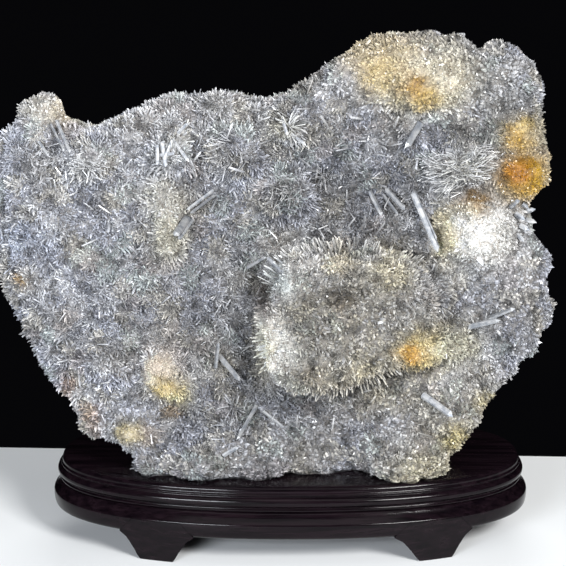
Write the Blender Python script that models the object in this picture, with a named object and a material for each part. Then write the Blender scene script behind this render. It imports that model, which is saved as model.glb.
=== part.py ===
"""A plate of needle quartz standing in the carved socket of a two-tier oval wooden stand.

Metres, +Z up. The front of the plate faces -Y, and the stand rests on Z = 0.
The plate leans back a little. It is laid out in its own slab frame: u to the right, v up the
leaning plate from the top of the stand, and w out of its front face.
"""

import math
import random

import bmesh
import bpy
import numpy as np
from mathutils import Matrix, Vector, noise
from mathutils.bvhtree import BVHTree

MM = 0.001
SEED = 7
GAP = 0.3 * MM  # air between two pieces that touch

# Stand: two stacked oval boards, measured on the wider lower one
STAND_WIDTH = 290.0 * MM
STAND_DEPTH = 147.0 * MM
OVAL_POWER = 2.3  # 2 is an ellipse, higher is squarer
OVAL_SEGMENTS = 44
BASE_BOTTOM = 17.5 * MM
BASE_TOP = 34.2 * MM
PLATFORM_TOP = 48.0 * MM
SOCKET_DEPTH = 4.5 * MM
SOCKET_CLEARANCE = 1.2 * MM

# Mouldings, as (distance outside the lower board's oval, height), listed up the outer side
BASE_PROFILE = (
    (-2.6 * MM, BASE_BOTTOM),
    (-0.7 * MM, 19.5 * MM),
    (0.0 * MM, 23.0 * MM),
    (-0.2 * MM, 29.6 * MM),
    (-1.0 * MM, 30.2 * MM),
    (-2.4 * MM, 32.6 * MM),
    (-5.2 * MM, BASE_TOP),
)
PLATFORM_PROFILE = (
    (-5.4 * MM, BASE_TOP + GAP),
    (-3.8 * MM, 36.0 * MM),
    (-4.4 * MM, 37.2 * MM),
    (-2.8 * MM, 39.4 * MM),
    (-2.8 * MM, 42.2 * MM),
    (-4.4 * MM, 44.6 * MM),
    (-5.0 * MM, 45.4 * MM),
    (-5.0 * MM, 47.2 * MM),
    (-6.2 * MM, PLATFORM_TOP),
)

# Bracket feet, as half widths along the board's edge at each height
FOOT_X = {"left": -79.0 * MM, "right": 85.5 * MM}
FOOT_PROFILE = (
    (9.6 * MM, 0.0),
    (11.6 * MM, 2.2 * MM),
    (16.5 * MM, 10.0 * MM),
    (24.5 * MM, 17.2 * MM),
    (15.0 * MM, 28.8 * MM),
)
FOOT_PROUD = 0.7 * MM  # how far the foot stands out of the board's edge
FOOT_SET_BACK = 4.2 * MM  # how far its face slopes in towards the ground
FOOT_THICKNESS = 15.0 * MM
FOOT_COLUMNS = 6

# Quartz plate
LEAN = math.radians(8.0)
PLATE_FOOT = Vector((0.0, -20.0 * MM, PLATFORM_TOP))  # middle of the plate at the stand's top
PLATE_MIDDLE = (0.0, 110.0)
PLATE_CORNERS = 96
PLATE_RINGS = 14
PLATE_PIN = 0.02  # share of the outline that the innermost ring keeps
PLATE_INSET = 3.0  # how far the matrix stays inside the silhouette of its crystals
FRONT_LEVEL = 25.0
BACK_LEVEL = 26.0
RIM_LEVEL = 2.0
RIM_ROUNDING = 24.0
MATRIX_VOXEL = 2.6 * MM
MATRIX_TRIANGLES = 1300
FLAT_WITHIN = 0.8 * MM  # corners this near the cut are laid flat on it
KNOLL_SIZE = 24.0  # distance between the small domes that cover the front
KNOLL_HEIGHT = 4.0

# The plate's silhouette in the slab frame, in millimetres, clockwise from the upper left
PLATE_OUTLINE = (
    (-174, 190), (-165, 199), (-150, 206), (-134, 207), (-120, 202), (-110, 200),
    (-101, 208), (-86, 215), (-70, 219), (-54, 219), (-39, 221), (-22, 218), (-4, 219),
    (6, 225), (19, 235), (35, 245), (50, 251), (66, 252), (82, 255), (96, 252),
    (112, 246), (124, 249), (138, 242), (146, 227), (146, 210), (148, 194), (150, 182),
    (148, 168), (142, 157), (140, 147), (144, 134), (151, 122), (151, 108), (155, 96),
    (155, 84), (147, 72), (134, 56), (122, 43), (118, 33), (109, 23), (103, 12),
    (97, 0), (93, -12), (60, -14), (20, -14), (-25, -14), (-65, -14), (-90, -12),
    (-94, 0), (-105, 13), (-119, 22), (-129, 39), (-143, 56), (-155, 73), (-165, 93),
    (-173, 108), (-177, 128), (-178, 150), (-177, 172),
)

# Broad swells and hollows of the front face: name, u, v, spread along u and v, height
SWELLS = (
    ("left dome", -85, 125, 55, 60, 5.0),
    ("upper right lobe", 82, 228, 52, 20, 9.0),
    ("hollow above the great lump", 40, 168, 44, 22, -7.0),
    ("shadowed hollow beside it", -30, 80, 12, 40, -7.0),
    ("right shoulder", 125, 80, 28, 26, 7.0),
    ("trough under the great lump", 40, 36, 55, 10, -7.0),
    ("bottom left swell", -58, 0, 28, 16, 7.0),
    ("bottom arch", 20, -4, 17, 14, -6.0),
    ("bottom right swell", 67, 0, 24, 16, 9.0),
)

# Rounded tufts that stand out of the plate: name, u, v, w of the centre, radii along u, v, w
TUFTS = (
    ("top left knob", -140, 207, 8, 13, 13, 15),
    ("spray", -117, 179, 24, 15, 15, 12),
    ("white bundle", -70, 184, 27, 12, 11, 9),
    ("yellow ridge top", -72, 158, 30, 10, 13, 9),
    ("yellow ridge", -69, 136, 31, 10, 14, 9),
    ("centre left hump", -32, 185, 24, 19, 18, 12),
    ("centre hump", -1, 160, 24, 17, 17, 12),
    ("top hump", -43, 213, 14, 14, 9, 15),
    ("top centre hump", 2, 212, 14, 15, 9, 14),
    ("burst", -2, 200, 26, 13, 12, 9),
    ("lobe crown", 76, 224, 28, 24, 17, 14),
    ("lobe left", 36, 232, 22, 18, 13, 12),
    ("lobe right", 122, 226, 22, 18, 18, 13),
    ("golden cap", 132, 195, 19, 14, 12, 14),
    ("orange ball", 135, 173, 20, 17, 16, 19),
    ("fan", 104, 176, 22, 16, 11, 12),
    ("white ball", 111, 136, 26, 23, 22, 24),
    ("right edge bump", 150, 94, 8, 9, 9, 10),
    ("milky bump", 134, 76, 24, 14, 13, 12),
    ("orange mound", 74, 73, 34, 18, 14, 16),
    ("yellow mound", 95, 72, 28, 12, 10, 12),
    ("lower right mound", 96, 30, 22, 18, 14, 12),
    ("cream ball", -79, 63, 30, 9, 9, 9),
    ("yellow lump", -73, 48, 29, 10, 7, 8),
    ("left mound", -140, 150, 20, 20, 24, 10),
    ("low left mound", -112, 66, 24, 18, 17, 10),
    ("bottom left mound", -93, 21, 22, 13, 11, 12),
    ("bottom mound", -34, 14, 26, 18, 12, 10),
)

# The great lump in front of the middle: its outline, then (size, depth) up its sides
LUMP_OUTLINE = (
    (-18, 92), (-16, 76), (-12, 60), (-4, 50), (12, 46), (30, 49), (46, 55), (64, 64),
    (76, 72), (84, 84), (84, 104), (76, 122), (56, 131), (44, 133), (28, 132),
    (12, 132), (-2, 128), (-9, 116), (-14, 104),
)
LUMP_MIDDLE = (33, 92)
LUMP_SIDES = (
    (0.86, 10), (0.92, 24), (1.0, 38), (1.0, 46), (0.95, 53), (0.84, 58.5),
    (0.66, 61), (0.42, 62), (0.2, 62.5),
)

# Large single crystals: name, root u, v, tip u, v, rise of the tip out of the face, thickness
LARGE_CRYSTALS = (
    ("long blade", 71, 165, 86, 128, 10, 3.0),
    ("blade beside it", 46, 163, 53, 149, 8, 3.4),
    ("second blade", 56, 164, 66, 153, 9, 3.4),
    ("lobe blade", 75, 203, 66, 188, 8, 3.8),
    ("ridge crystal", -57, 150, -67, 138, 10, 6.0),
    ("grey blade", -45, 164, -60, 153, 8, 4.6),
    ("left grey crystal", -42, 67, -29, 53, 10, 5.2),
    ("upright grey crystal", -44, 62, -42, 77, 9, 4.4),
    ("fallen stick", -20, 37, -31, 20, 6, 2.6),
    ("fallen stick's pair", -19, 36, -4, 25, 6, 2.6),
    ("short white crystal", -39, 10, -29, 17, 9, 5.0),
    ("white blue crystal", 76, 44, 96, 34, 8, 5.0),
    ("right clear crystal", 102, 84, 122, 90, 9, 5.4),
    ("right clear tip", 116, 88, 131, 99, 9, 5.0),
    ("upper left sticks", -136, 204, -125, 186, 9, 3.6),
    ("left crystal", -152, 180, -142, 190, 9, 5.0),
    ("bundle stick", -70, 190, -60, 178, 10, 3.0),
    ("burst stick", -2, 198, 14, 188, 9, 3.0),
    ("lump corner blade", 0, 120, -12, 128, 14, 4.2),
    ("centre stick", -26, 118, -14, 126, 7, 3.0),
)

FACET_HEIGHT = (0.45, 0.85)  # height of the point on each facet, as a share of its size
FACET_HIGHEST = 7.0
CRYSTALS_PER_TUFT = 2
CRYSTALS_ON_LUMP = 14
CRYSTALS_ON_RIM = 30
CRYSTAL_REACH = (8.0, 12.0)  # how far a crystal stands out of the matrix
CRYSTAL_ROOT = 5.0  # how deep it is rooted in it
CRYSTAL_RADIUS = (2.2, 3.6)
RADIATE = 0.5  # how far crystals splay over the tuft that they grow on
TIP_SHARE = 0.4  # share of a crystal's free length that is its pyramid


def clear_scene():
    for obj in list(bpy.data.objects):
        bpy.data.objects.remove(obj, do_unlink=True)


def material(name, colour, roughness, metallic=0.0):
    made = bpy.data.materials.new(name)
    made.use_nodes = True
    shader = made.node_tree.nodes["Principled BSDF"]
    shader.inputs["Base Color"].default_value = (*colour, 1.0)
    shader.inputs["Roughness"].default_value = roughness
    shader.inputs["Metallic"].default_value = metallic
    return made


def add_object(name, mesh, finish=None):
    obj = bpy.data.objects.new(name, mesh)
    bpy.context.scene.collection.objects.link(obj)
    if finish:
        mesh.materials.clear()
        mesh.materials.append(finish)
    return obj


def mesh_from(name, bm):
    bmesh.ops.recalc_face_normals(bm, faces=bm.faces)
    mesh = bpy.data.meshes.new(name)
    bm.to_mesh(mesh)
    bm.free()
    return mesh


def baked(obj, name):
    """The object's mesh with its modifiers applied, as a new mesh; the object is removed."""
    bpy.context.view_layer.update()
    graph = bpy.context.evaluated_depsgraph_get()
    mesh = bpy.data.meshes.new_from_object(obj.evaluated_get(graph), depsgraph=graph)
    mesh.name = name
    bpy.data.objects.remove(obj, do_unlink=True)
    return mesh


def boolean(obj, other, operation, use_self=False):
    """Adds an exact Boolean of the object with the other one, which becomes a hidden helper."""
    modifier = obj.modifiers.new(operation.title(), "BOOLEAN")
    modifier.operation = operation
    modifier.object = other
    modifier.solver = "EXACT"
    modifier.use_self = use_self
    other.hide_render = True
    other.display_type = "WIRE"
    return modifier


def stacked_rings(rings):
    """A closed body through a list of equally long rings of points, capped at both ends."""
    bm = bmesh.new()
    rows = [[bm.verts.new(point) for point in ring] for ring in rings]
    count = len(rows[0])
    for lower, upper in zip(rows, rows[1:]):
        for i in range(count):
            j = (i + 1) % count
            bm.faces.new((lower[i], lower[j], upper[j], upper[i]))
    bm.faces.new(rows[0][::-1])
    bm.faces.new(rows[-1])
    return bm


# ---------------------------------------------------------------- stand


def oval_point(angle, outside=0.0):
    """A point on the lower board's oval, moved outwards by a distance."""
    half_width = STAND_WIDTH / 2 + outside
    half_depth = STAND_DEPTH / 2 + outside
    cosine, sine = math.cos(angle), math.sin(angle)
    power = 2.0 / OVAL_POWER
    x = half_width * math.copysign(abs(cosine) ** power, cosine)
    y = half_depth * math.copysign(abs(sine) ** power, sine)
    return x, y


def oval_front(x, outside=0.0):
    """How far the oval reaches from the stand's middle line at this x."""
    half_width = STAND_WIDTH / 2 + outside
    half_depth = STAND_DEPTH / 2 + outside
    share = abs(x / half_width) ** OVAL_POWER
    return half_depth * (1.0 - share) ** (1.0 / OVAL_POWER)


def oval_board(name, profile, finish):
    """A board with the moulded edge that the profile gives all round."""
    rings = []
    for outside, height in profile:
        turn = 2 * math.pi / OVAL_SEGMENTS
        ring = [(*oval_point(turn * (i + 0.5), outside), height) for i in range(OVAL_SEGMENTS)]
        rings.append(ring)
    return add_object(name, mesh_from(name, stacked_rings(rings)), finish)


def foot_body(name, x_middle, grow=0.0):
    """A bracket foot that follows the oval's front edge, with every face moved out by grow."""
    rings = []
    top = FOOT_PROFILE[-1][1]
    for half_width, height in FOOT_PROFILE:
        level = height + grow if height == top else height
        half = half_width + grow
        slope = FOOT_SET_BACK * (1.0 - height / top)
        steps = [x_middle + half * (2.0 * i / FOOT_COLUMNS - 1.0) for i in range(FOOT_COLUMNS + 1)]
        face = [(x, -oval_front(x, FOOT_PROUD + grow) + slope, level) for x in steps]
        back = -oval_front(x_middle) + FOOT_THICKNESS + grow
        rings.append(face + [(steps[-1], back, level), (steps[0], back, level)])
    return mesh_from(name, stacked_rings(rings))


def turned_about(mesh):
    """The same mesh, mirrored front to back."""
    mesh.transform(Matrix.Diagonal((1.0, -1.0, 1.0, 1.0)))
    mesh.flip_normals()
    return mesh


def build_feet(finish):
    feet = []
    for side, x_middle in FOOT_X.items():
        front = foot_body(f"foot_front_{side}", x_middle)
        back = turned_about(foot_body(f"foot_back_{side}", x_middle))
        feet.append(add_object(f"foot_front_{side}", front, finish))
        feet.append(add_object(f"foot_back_{side}", back, finish))
    return feet


def house_feet(base):
    """Cuts a close housing for each foot into the edge of the lower board."""
    for side, x_middle in FOOT_X.items():
        front = foot_body(f"housing_front_{side}", x_middle, GAP)
        back = turned_about(foot_body(f"housing_back_{side}", x_middle, GAP))
        boolean(base, add_object(f"housing_front_{side}", front), "DIFFERENCE")
        boolean(base, add_object(f"housing_back_{side}", back), "DIFFERENCE")


def socket_cutter(matrix):
    """The stone's own foot, a little larger all round and flat on the socket's floor."""
    floor = PLATFORM_TOP - SOCKET_DEPTH
    normals = [vertex.normal.copy() for vertex in matrix.vertices]
    for vertex, normal in zip(matrix.vertices, normals):
        vertex.co += normal * SOCKET_CLEARANCE
        vertex.co.z = max(vertex.co.z, floor)
    return add_object("socket_cutter", matrix)


# ---------------------------------------------------------------- quartz matrix


def slab_matrix():
    """Turns slab coordinates (u, v, w) in metres into world ones."""
    across = Vector((1.0, 0.0, 0.0))
    up = Vector((0.0, math.sin(LEAN), math.cos(LEAN)))
    out = Vector((0.0, -math.cos(LEAN), math.sin(LEAN)))
    turn = Matrix((across, up, out)).transposed().to_4x4()
    return Matrix.Translation(PLATE_FOOT) @ turn


def smooth_loop(points, count):
    """Evenly spaced points on a closed Catmull-Rom curve through the given ones."""
    known = np.array(points, float)
    dense = []
    for i in range(len(known)):
        before, start, end, after = (known[(i + k) % len(known)] for k in (-1, 0, 1, 2))
        for t in np.linspace(0.0, 1.0, 8, endpoint=False):
            dense.append(0.5 * (
                2 * start + (end - before) * t
                + (2 * before - 5 * start + 4 * end - after) * t ** 2
                + (3 * start - before - 3 * end + after) * t ** 3
            ))
    dense = np.array(dense + [dense[0]])
    run = np.concatenate([[0.0], np.cumsum(np.linalg.norm(np.diff(dense, axis=0), axis=1))])
    wanted = np.linspace(0.0, run[-1], count, endpoint=False)
    return np.column_stack([np.interp(wanted, run, dense[:, k]) for k in (0, 1)])


def front_swell(u, v):
    """The height of the broad swells and hollows at a place on the front, in millimetres."""
    height = 0.0
    for _, u0, v0, wide, tall, amount in SWELLS:
        height += amount * math.exp(-((u - u0) / wide) ** 2 - ((v - v0) / tall) ** 2)
    return height


def plate_body():
    """The plate without its tufts: two bulged faces that meet in a rounded rim."""
    rim = smooth_loop(PLATE_OUTLINE, PLATE_CORNERS)
    middle = np.array(PLATE_MIDDLE)
    rim -= (rim - middle) / np.linalg.norm(rim - middle, axis=1)[:, None] * PLATE_INSET

    def ring(share, face):
        points = []
        for corner in rim:
            u, v = middle + (corner - middle) * share
            inward = (1.0 - share) * np.linalg.norm(corner - middle)
            bend = min(1.0, inward / RIM_ROUNDING)
            rounding = math.sqrt(1.0 - (1.0 - bend) ** 2)
            rough = noise.fractal(Vector((u, v, 40.0 * face)) * 0.035, 1.0, 2.0, 4)
            if face > 0:
                level = FRONT_LEVEL + front_swell(u, v) + 1.8 * rough
            else:
                level = BACK_LEVEL + 7.0 * rough
            points.append(Vector((u, v, RIM_LEVEL + face * (level - face * RIM_LEVEL) * rounding)))
        return points

    shares = [math.sin(0.5 * math.pi * (k + 1) / PLATE_RINGS) for k in range(PLATE_RINGS)]
    shares = [PLATE_PIN] + shares
    back = [ring(share, -1) for share in shares]
    front = [ring(share, 1) for share in reversed(shares[:-1])]
    return stacked_rings([[point * MM for point in row] for row in back + front])


def great_lump():
    """The overhanging lump in front of the plate's middle."""
    edge = smooth_loop(LUMP_OUTLINE, 40)
    middle = np.array(LUMP_MIDDLE)
    rings = []
    for size, depth in LUMP_SIDES:
        row = []
        for corner in edge:
            u, v = middle + (corner - middle) * size
            rough = noise.noise(Vector((u, v, depth)) * 0.06)
            row.append(Vector((u, v, depth + 2.0 * rough)) * MM)
        rings.append(row)
    return stacked_rings(rings)


def tuft_body(u, v, w, radii):
    bm = bmesh.new()
    bmesh.ops.create_icosphere(bm, subdivisions=3, radius=1.0)
    for vertex in bm.verts:
        out = vertex.co.normalized()
        rough = 1.0 + 0.08 * noise.noise(out * 2.2 + Vector((u, v, w)))
        vertex.co = Vector([c + r * o * rough for c, r, o in zip((u, v, w), radii, out)]) * MM
    return bm


def raise_knolls(mesh):
    """Covers the front with low domes that meet in creases."""
    front = (slab_matrix().to_3x3() @ Vector((0.0, 0.0, 1.0))).normalized()
    normals = [vertex.normal.copy() for vertex in mesh.vertices]
    for vertex, normal in zip(mesh.vertices, normals):
        facing = max(0.0, normal.dot(front) + 0.3)
        nearest = noise.voronoi(vertex.co / (KNOLL_SIZE * MM))[0][0]
        dome = max(0.0, 1.0 - nearest * nearest * 2.0)
        vertex.co += normal * min(1.0, facing) * KNOLL_HEIGHT * MM * (dome - 0.6)


def stone_matrix():
    """Plate, great lump and tufts grown into one coarse body, cut flat where it stands."""
    bodies = [plate_body(), great_lump()]
    bodies += [tuft_body(u, v, w, radii) for _, u, v, w, *radii in TUFTS]
    whole = bmesh.new()
    for index, body in enumerate(bodies):
        part = mesh_from(f"grown_{index}", body)
        whole.from_mesh(part)
        bpy.data.meshes.remove(part)
    mesh = bpy.data.meshes.new("grown")
    whole.to_mesh(mesh)
    whole.free()
    mesh.transform(slab_matrix())
    obj = add_object("grown", mesh)
    remesh = obj.modifiers.new("Fuse", "REMESH")
    remesh.mode = "VOXEL"
    remesh.voxel_size = MATRIX_VOXEL
    smooth = obj.modifiers.new("Soften", "SMOOTH")
    smooth.iterations = 3
    fused = add_object("fused", baked(obj, "fused"))
    raise_knolls(fused.data)
    floor = PLATFORM_TOP - SOCKET_DEPTH + GAP
    below = bmesh.new()
    bmesh.ops.create_cube(below, size=1.0)
    bmesh.ops.translate(below, verts=below.verts, vec=(0.0, 0.0, floor - 0.5))
    boolean(fused, add_object("ground", mesh_from("ground", below)), "DIFFERENCE")
    thin = fused.modifiers.new("Coarsen", "DECIMATE")
    bpy.context.view_layer.update()
    graph = bpy.context.evaluated_depsgraph_get()
    faces = len(fused.evaluated_get(graph).data.loop_triangles)
    thin.ratio = min(1.0, MATRIX_TRIANGLES / max(1, faces))
    thin.use_collapse_triangulate = True
    mesh = baked(fused, "matrix")
    bpy.data.objects.remove(bpy.data.objects["ground"], do_unlink=True)
    for vertex in mesh.vertices:
        if vertex.co.z < floor + FLAT_WITHIN:
            vertex.co.z = floor
    return mesh


# ---------------------------------------------------------------- crystals


def crystal_points(root, axis, radius, length, twist, tip):
    """The corners of one hexagonal prism with a six-sided point: two rings and the tip."""
    side = axis.orthogonal().normalized()
    across = axis.cross(side)
    shoulder = root + axis * (length - tip)
    rings = []
    for start in (root, shoulder):
        ring = []
        for k in range(6):
            angle = twist + k * math.pi / 3
            ring.append(start + (side * math.cos(angle) + across * math.sin(angle)) * radius)
        rings.append(ring)
    return rings, root + axis * length


def add_crystal(bm, root, axis, radius, length, twist, tip):
    rings, point = crystal_points(root, axis, radius, length, twist, tip)
    lower, upper = [[bm.verts.new(corner) for corner in ring] for ring in rings]
    top = bm.verts.new(point)
    bm.faces.new(lower[::-1])
    for i in range(6):
        j = (i + 1) % 6
        bm.faces.new((lower[i], lower[j], upper[j], upper[i]))
        bm.faces.new((upper[i], upper[j], top))


def tuft_places(tree, to_world, chance):
    """Yields places on the matrix, with their normals, spread evenly round each tuft's front."""
    turn = to_world.to_3x3()
    spots = [(u, v, w, CRYSTALS_PER_TUFT, 1.0) for _, u, v, w, *_ in TUFTS]
    spots.append((*LUMP_MIDDLE, 30, CRYSTALS_ON_LUMP, 2.6))
    for u, v, w, count, spread in spots:
        centre = to_world @ (Vector((u, v, w)) * MM)
        first = chance.uniform(0.0, 2 * math.pi)
        for k in range(count):
            angle = first + 2 * math.pi * (k + chance.uniform(-0.2, 0.2)) / count
            lean = spread * chance.uniform(0.5, 1.3)
            way = Vector((math.cos(angle) * lean, math.sin(angle) * lean, 1.0)).normalized()
            start = centre + turn @ way * 120.0 * MM
            place, normal, _, _ = tree.ray_cast(start, turn @ -way)
            if place:
                yield place, normal


def rim_places(tree, to_world, chance):
    """Yields places on the matrix, with their normals, round the plate's rim."""
    turn = to_world.to_3x3()
    for corner in smooth_loop(PLATE_OUTLINE, CRYSTALS_ON_RIM):
        away = Vector((*(corner - np.array(PLATE_MIDDLE)), 0.0)).normalized()
        depth = chance.uniform(-8.0, 14.0)
        start = to_world @ ((Vector((*corner, depth)) + away * 30.0) * MM)
        place, normal, _, _ = tree.ray_cast(start, turn @ -away)
        if place:
            yield place, normal


def tuft_centres(to_world):
    """Centres that the crystals splay away from, a little inside each tuft."""
    centres = [Vector((u, v, w)) for _, u, v, w, *_ in TUFTS]
    centres.append(Vector((*LUMP_MIDDLE, 20.0)))
    return [(to_world @ (centre * MM)) for centre in centres]


def raise_points(matrix, to_world):
    """Draws each facet of the front and the rim out into a low crystal point."""
    chance = random.Random(SEED + 1)
    centres = tuft_centres(to_world)
    front = (to_world.to_3x3() @ Vector((0.0, 0.0, 1.0))).normalized()
    bm = bmesh.new()
    bm.from_mesh(matrix)
    bm.normal_update()
    floor = PLATFORM_TOP + 3.0 * MM
    for face in list(bm.faces):
        height = chance.uniform(*FACET_HEIGHT)
        lowest = min(vertex.co.z for vertex in face.verts)
        if lowest < floor or face.normal.dot(front) < -0.2:
            continue
        place, normal = face.calc_center_median(), face.normal.copy()
        nearest = min(centres, key=lambda centre: (centre - place).length)
        axis = (normal + (place - nearest).normalized() * RADIATE * 0.5).normalized()
        reach = min(height * math.sqrt(face.calc_area()), FACET_HIGHEST * MM)
        tip = bmesh.ops.poke(bm, faces=[face])["verts"][0]
        tip.co = place + axis * reach
        tip.co.z = max(tip.co.z, floor)
    bm.normal_update()
    bm.to_mesh(matrix)
    bm.free()


def add_small_crystals(bm, tree, to_world):
    """Crystals that splay out of the tufts and stand along the rim."""
    chance = random.Random(SEED)
    centres = tuft_centres(to_world)
    floor = PLATFORM_TOP + 2.0 * MM
    places = [*tuft_places(tree, to_world, chance), *rim_places(tree, to_world, chance)]
    for place, normal in places:
        nearest = min(centres, key=lambda centre: (centre - place).length)
        splay = (place - nearest).normalized() * RADIATE
        stray = Vector([chance.gauss(0.0, 0.15) for _ in range(3)])
        axis = (normal + splay + stray).normalized()
        reach = chance.uniform(*CRYSTAL_REACH) * MM
        radius = chance.uniform(*CRYSTAL_RADIUS) * MM
        twist = chance.uniform(0.0, math.pi / 3)
        root = place - axis * CRYSTAL_ROOT * MM
        end = place + axis * reach
        if min(root.z, end.z, place.z) - radius < floor:
            continue
        add_crystal(bm, root, axis, radius, reach + CRYSTAL_ROOT * MM, twist, reach * TIP_SHARE)


def add_large_crystals(bm, tree, to_world):
    """The single crystals that stand out, each lying over the face from its root to its tip."""
    inward = (to_world.to_3x3() @ Vector((0.0, 0.0, -1.0))).normalized()
    for index, (_, u0, v0, u1, v1, rise, thickness) in enumerate(LARGE_CRYSTALS):
        ends = []
        for u, v in ((u0, v0), (u1, v1)):
            start = to_world @ (Vector((u, v, 120.0)) * MM)
            ends.append(tree.ray_cast(start, inward)[0])
        root = ends[0] + inward * thickness * MM
        tip = ends[1] - inward * rise * MM
        axis = (tip - root).normalized()
        length = (tip - root).length
        add_crystal(bm, root, axis, thickness * MM / 2, length, 0.35 * index, thickness * MM * 0.8)


def build_cluster(matrix, finish):
    """Matrix and crystals joined in one solid."""
    to_world = slab_matrix()
    stone = add_object("quartz_cluster", matrix, finish)
    bm = bmesh.new()
    bm.from_mesh(matrix)
    tree = BVHTree.FromBMesh(bm)
    bm.free()
    raise_points(matrix, to_world)
    grown = bmesh.new()
    add_small_crystals(grown, tree, to_world)
    add_large_crystals(grown, tree, to_world)
    crystals = add_object("crystals", mesh_from("crystals", grown))
    boolean(stone, crystals, "UNION", use_self=True)
    joined = baked(stone, "quartz_cluster")
    bpy.data.objects.remove(crystals, do_unlink=True)
    return add_object("quartz_cluster", joined, finish)


# ---------------------------------------------------------------- whole


def centre_on_origin(objects):
    """Moves everything sideways, so that the origin is under the middle of the whole box."""
    bpy.context.view_layer.update()
    corners = np.array([
        obj.matrix_world @ Vector(corner) for obj in objects for corner in obj.bound_box
    ])
    middle = (corners.min(axis=0) + corners.max(axis=0)) / 2
    for obj in bpy.data.objects:
        obj.location.x -= middle[0]
        obj.location.y -= middle[1]


def main():
    clear_scene()
    quartz = material("smoky needle quartz", (0.42, 0.42, 0.41), 0.25)
    lacquer = material("dark lacquered wood", (0.035, 0.016, 0.014), 0.22)
    matrix = stone_matrix()
    cutter = socket_cutter(matrix.copy())
    stone = build_cluster(matrix, quartz)
    base = oval_board("stand_base", BASE_PROFILE, lacquer)
    house_feet(base)
    platform = oval_board("stand_platform", PLATFORM_PROFILE, lacquer)
    boolean(platform, cutter, "DIFFERENCE")
    feet = build_feet(lacquer)
    for piece in [base, platform, *feet]:
        piece.data.shade_smooth()
        piece.data.set_sharp_from_angle(angle=math.radians(35.0))
    centre_on_origin([stone, base, platform, *feet])


main()
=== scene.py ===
"""Looks of the needle-quartz plate and its carved stand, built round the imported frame.

Everything is made in the stand's own frame, with the stand's centre at x = y = 0 and the table
at z = 0, and moved into the frame's place at the end. The plate is laid out in its slab frame:
u to the right, v up the leaning plate and w out of its front face, in millimetres.
"""

import math
from collections import namedtuple

import bmesh
import bpy
import numpy as np
from mathutils import Matrix, Vector, noise
from mathutils.bvhtree import BVHTree
from mathutils.kdtree import KDTree


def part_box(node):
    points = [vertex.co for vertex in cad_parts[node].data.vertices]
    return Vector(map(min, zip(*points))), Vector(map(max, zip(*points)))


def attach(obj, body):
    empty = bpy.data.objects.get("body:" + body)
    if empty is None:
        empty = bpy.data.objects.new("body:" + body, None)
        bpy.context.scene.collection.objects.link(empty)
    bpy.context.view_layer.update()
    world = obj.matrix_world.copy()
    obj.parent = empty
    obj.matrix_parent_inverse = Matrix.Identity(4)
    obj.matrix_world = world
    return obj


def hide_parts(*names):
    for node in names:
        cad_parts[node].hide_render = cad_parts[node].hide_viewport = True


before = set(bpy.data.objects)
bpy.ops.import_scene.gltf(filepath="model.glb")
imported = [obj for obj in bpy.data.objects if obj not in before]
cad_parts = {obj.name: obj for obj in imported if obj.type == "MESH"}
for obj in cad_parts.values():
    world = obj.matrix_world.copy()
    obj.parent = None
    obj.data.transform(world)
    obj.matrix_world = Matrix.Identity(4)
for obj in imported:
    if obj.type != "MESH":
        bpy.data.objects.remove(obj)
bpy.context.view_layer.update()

BODY = "root"
MM = 0.001
SEED = 11
WHITE = (1.0, 1.0, 1.0)

# ---------------- sizes shared with the solids

STAND_LOW, STAND_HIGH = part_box("stand_base")
STAND_CENTRE = Vector(((STAND_LOW[0] + STAND_HIGH[0]) / 2, (STAND_LOW[1] + STAND_HIGH[1]) / 2, 0.0))
STAND_WIDTH = 290.0 * MM
STAND_DEPTH = 147.0 * MM
OVAL_POWER = 2.3
PLATFORM_TOP = 48.0 * MM
SOCKET_DEPTH = 4.5 * MM
SOCKET_CLEARANCE = 1.2 * MM
CUTTER_RISE = 2.5 * MM  # how far the socket's cutter stands out of the platform
GAP = 0.3 * MM  # under the plate's foot
SEAM = 0.12 * MM  # round a foot, where it is let into the board
FOOT_X = {"left": -79.0 * MM, "right": 85.5 * MM}
FOOT_PROUD = 0.2 * MM
FOOT_SET_BACK = 4.2 * MM
FOOT_THICKNESS = 15.0 * MM

LEAN = math.radians(8.0)
PLATE_FOOT = Vector((0.0, -20.0 * MM, PLATFORM_TOP))
PLATE_MIDDLE = np.array((0.0, 110.0))
PLATE_CORNERS = 260
PLATE_RINGS = 40
PLATE_PIN = 0.02  # the innermost ring's size, as a share of the outline
FRONT_LEVEL = 25.0
BACK_LEVEL = 26.0
RIM_LEVEL = 2.0
RIM_ROUNDING = 24.0
FACE_DETAIL = 0.035  # fineness of the faces' unevenness, per millimetre
FRONT_UNEVEN = 1.8
BACK_UNEVEN = 7.0
TUFT_DETAIL = 2.2  # fineness of a tuft's unevenness, per radius
TUFT_UNEVEN = 0.08  # as a share of a tuft's radius
LUMP_DETAIL = 0.06
LUMP_UNEVEN = 2.0
LUMP_CORNERS = 80
KNOLL_SIZE = 24.0
KNOLL_HEIGHT = 3.6

# The plate's silhouette in the slab frame, in millimetres, clockwise from the upper left
PLATE_OUTLINE = (
    (-174, 190), (-165, 199), (-150, 206), (-134, 207), (-120, 202), (-110, 200),
    (-101, 208), (-86, 215), (-70, 219), (-54, 219), (-39, 221), (-22, 218), (-4, 219),
    (6, 225), (19, 235), (35, 245), (50, 251), (66, 252), (82, 255), (96, 252),
    (112, 246), (124, 249), (138, 242), (146, 227), (146, 210), (148, 194), (150, 182),
    (148, 168), (142, 157), (140, 147), (144, 134), (151, 122), (151, 108), (155, 96),
    (155, 84), (147, 72), (134, 56), (122, 43), (118, 33), (109, 23), (103, 12),
    (97, 0), (93, -12), (60, -14), (20, -14), (-25, -14), (-65, -14), (-90, -12),
    (-94, 0), (-105, 13), (-119, 22), (-129, 39), (-143, 56), (-155, 73), (-165, 93),
    (-173, 108), (-177, 128), (-178, 150), (-177, 172),
)

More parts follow.
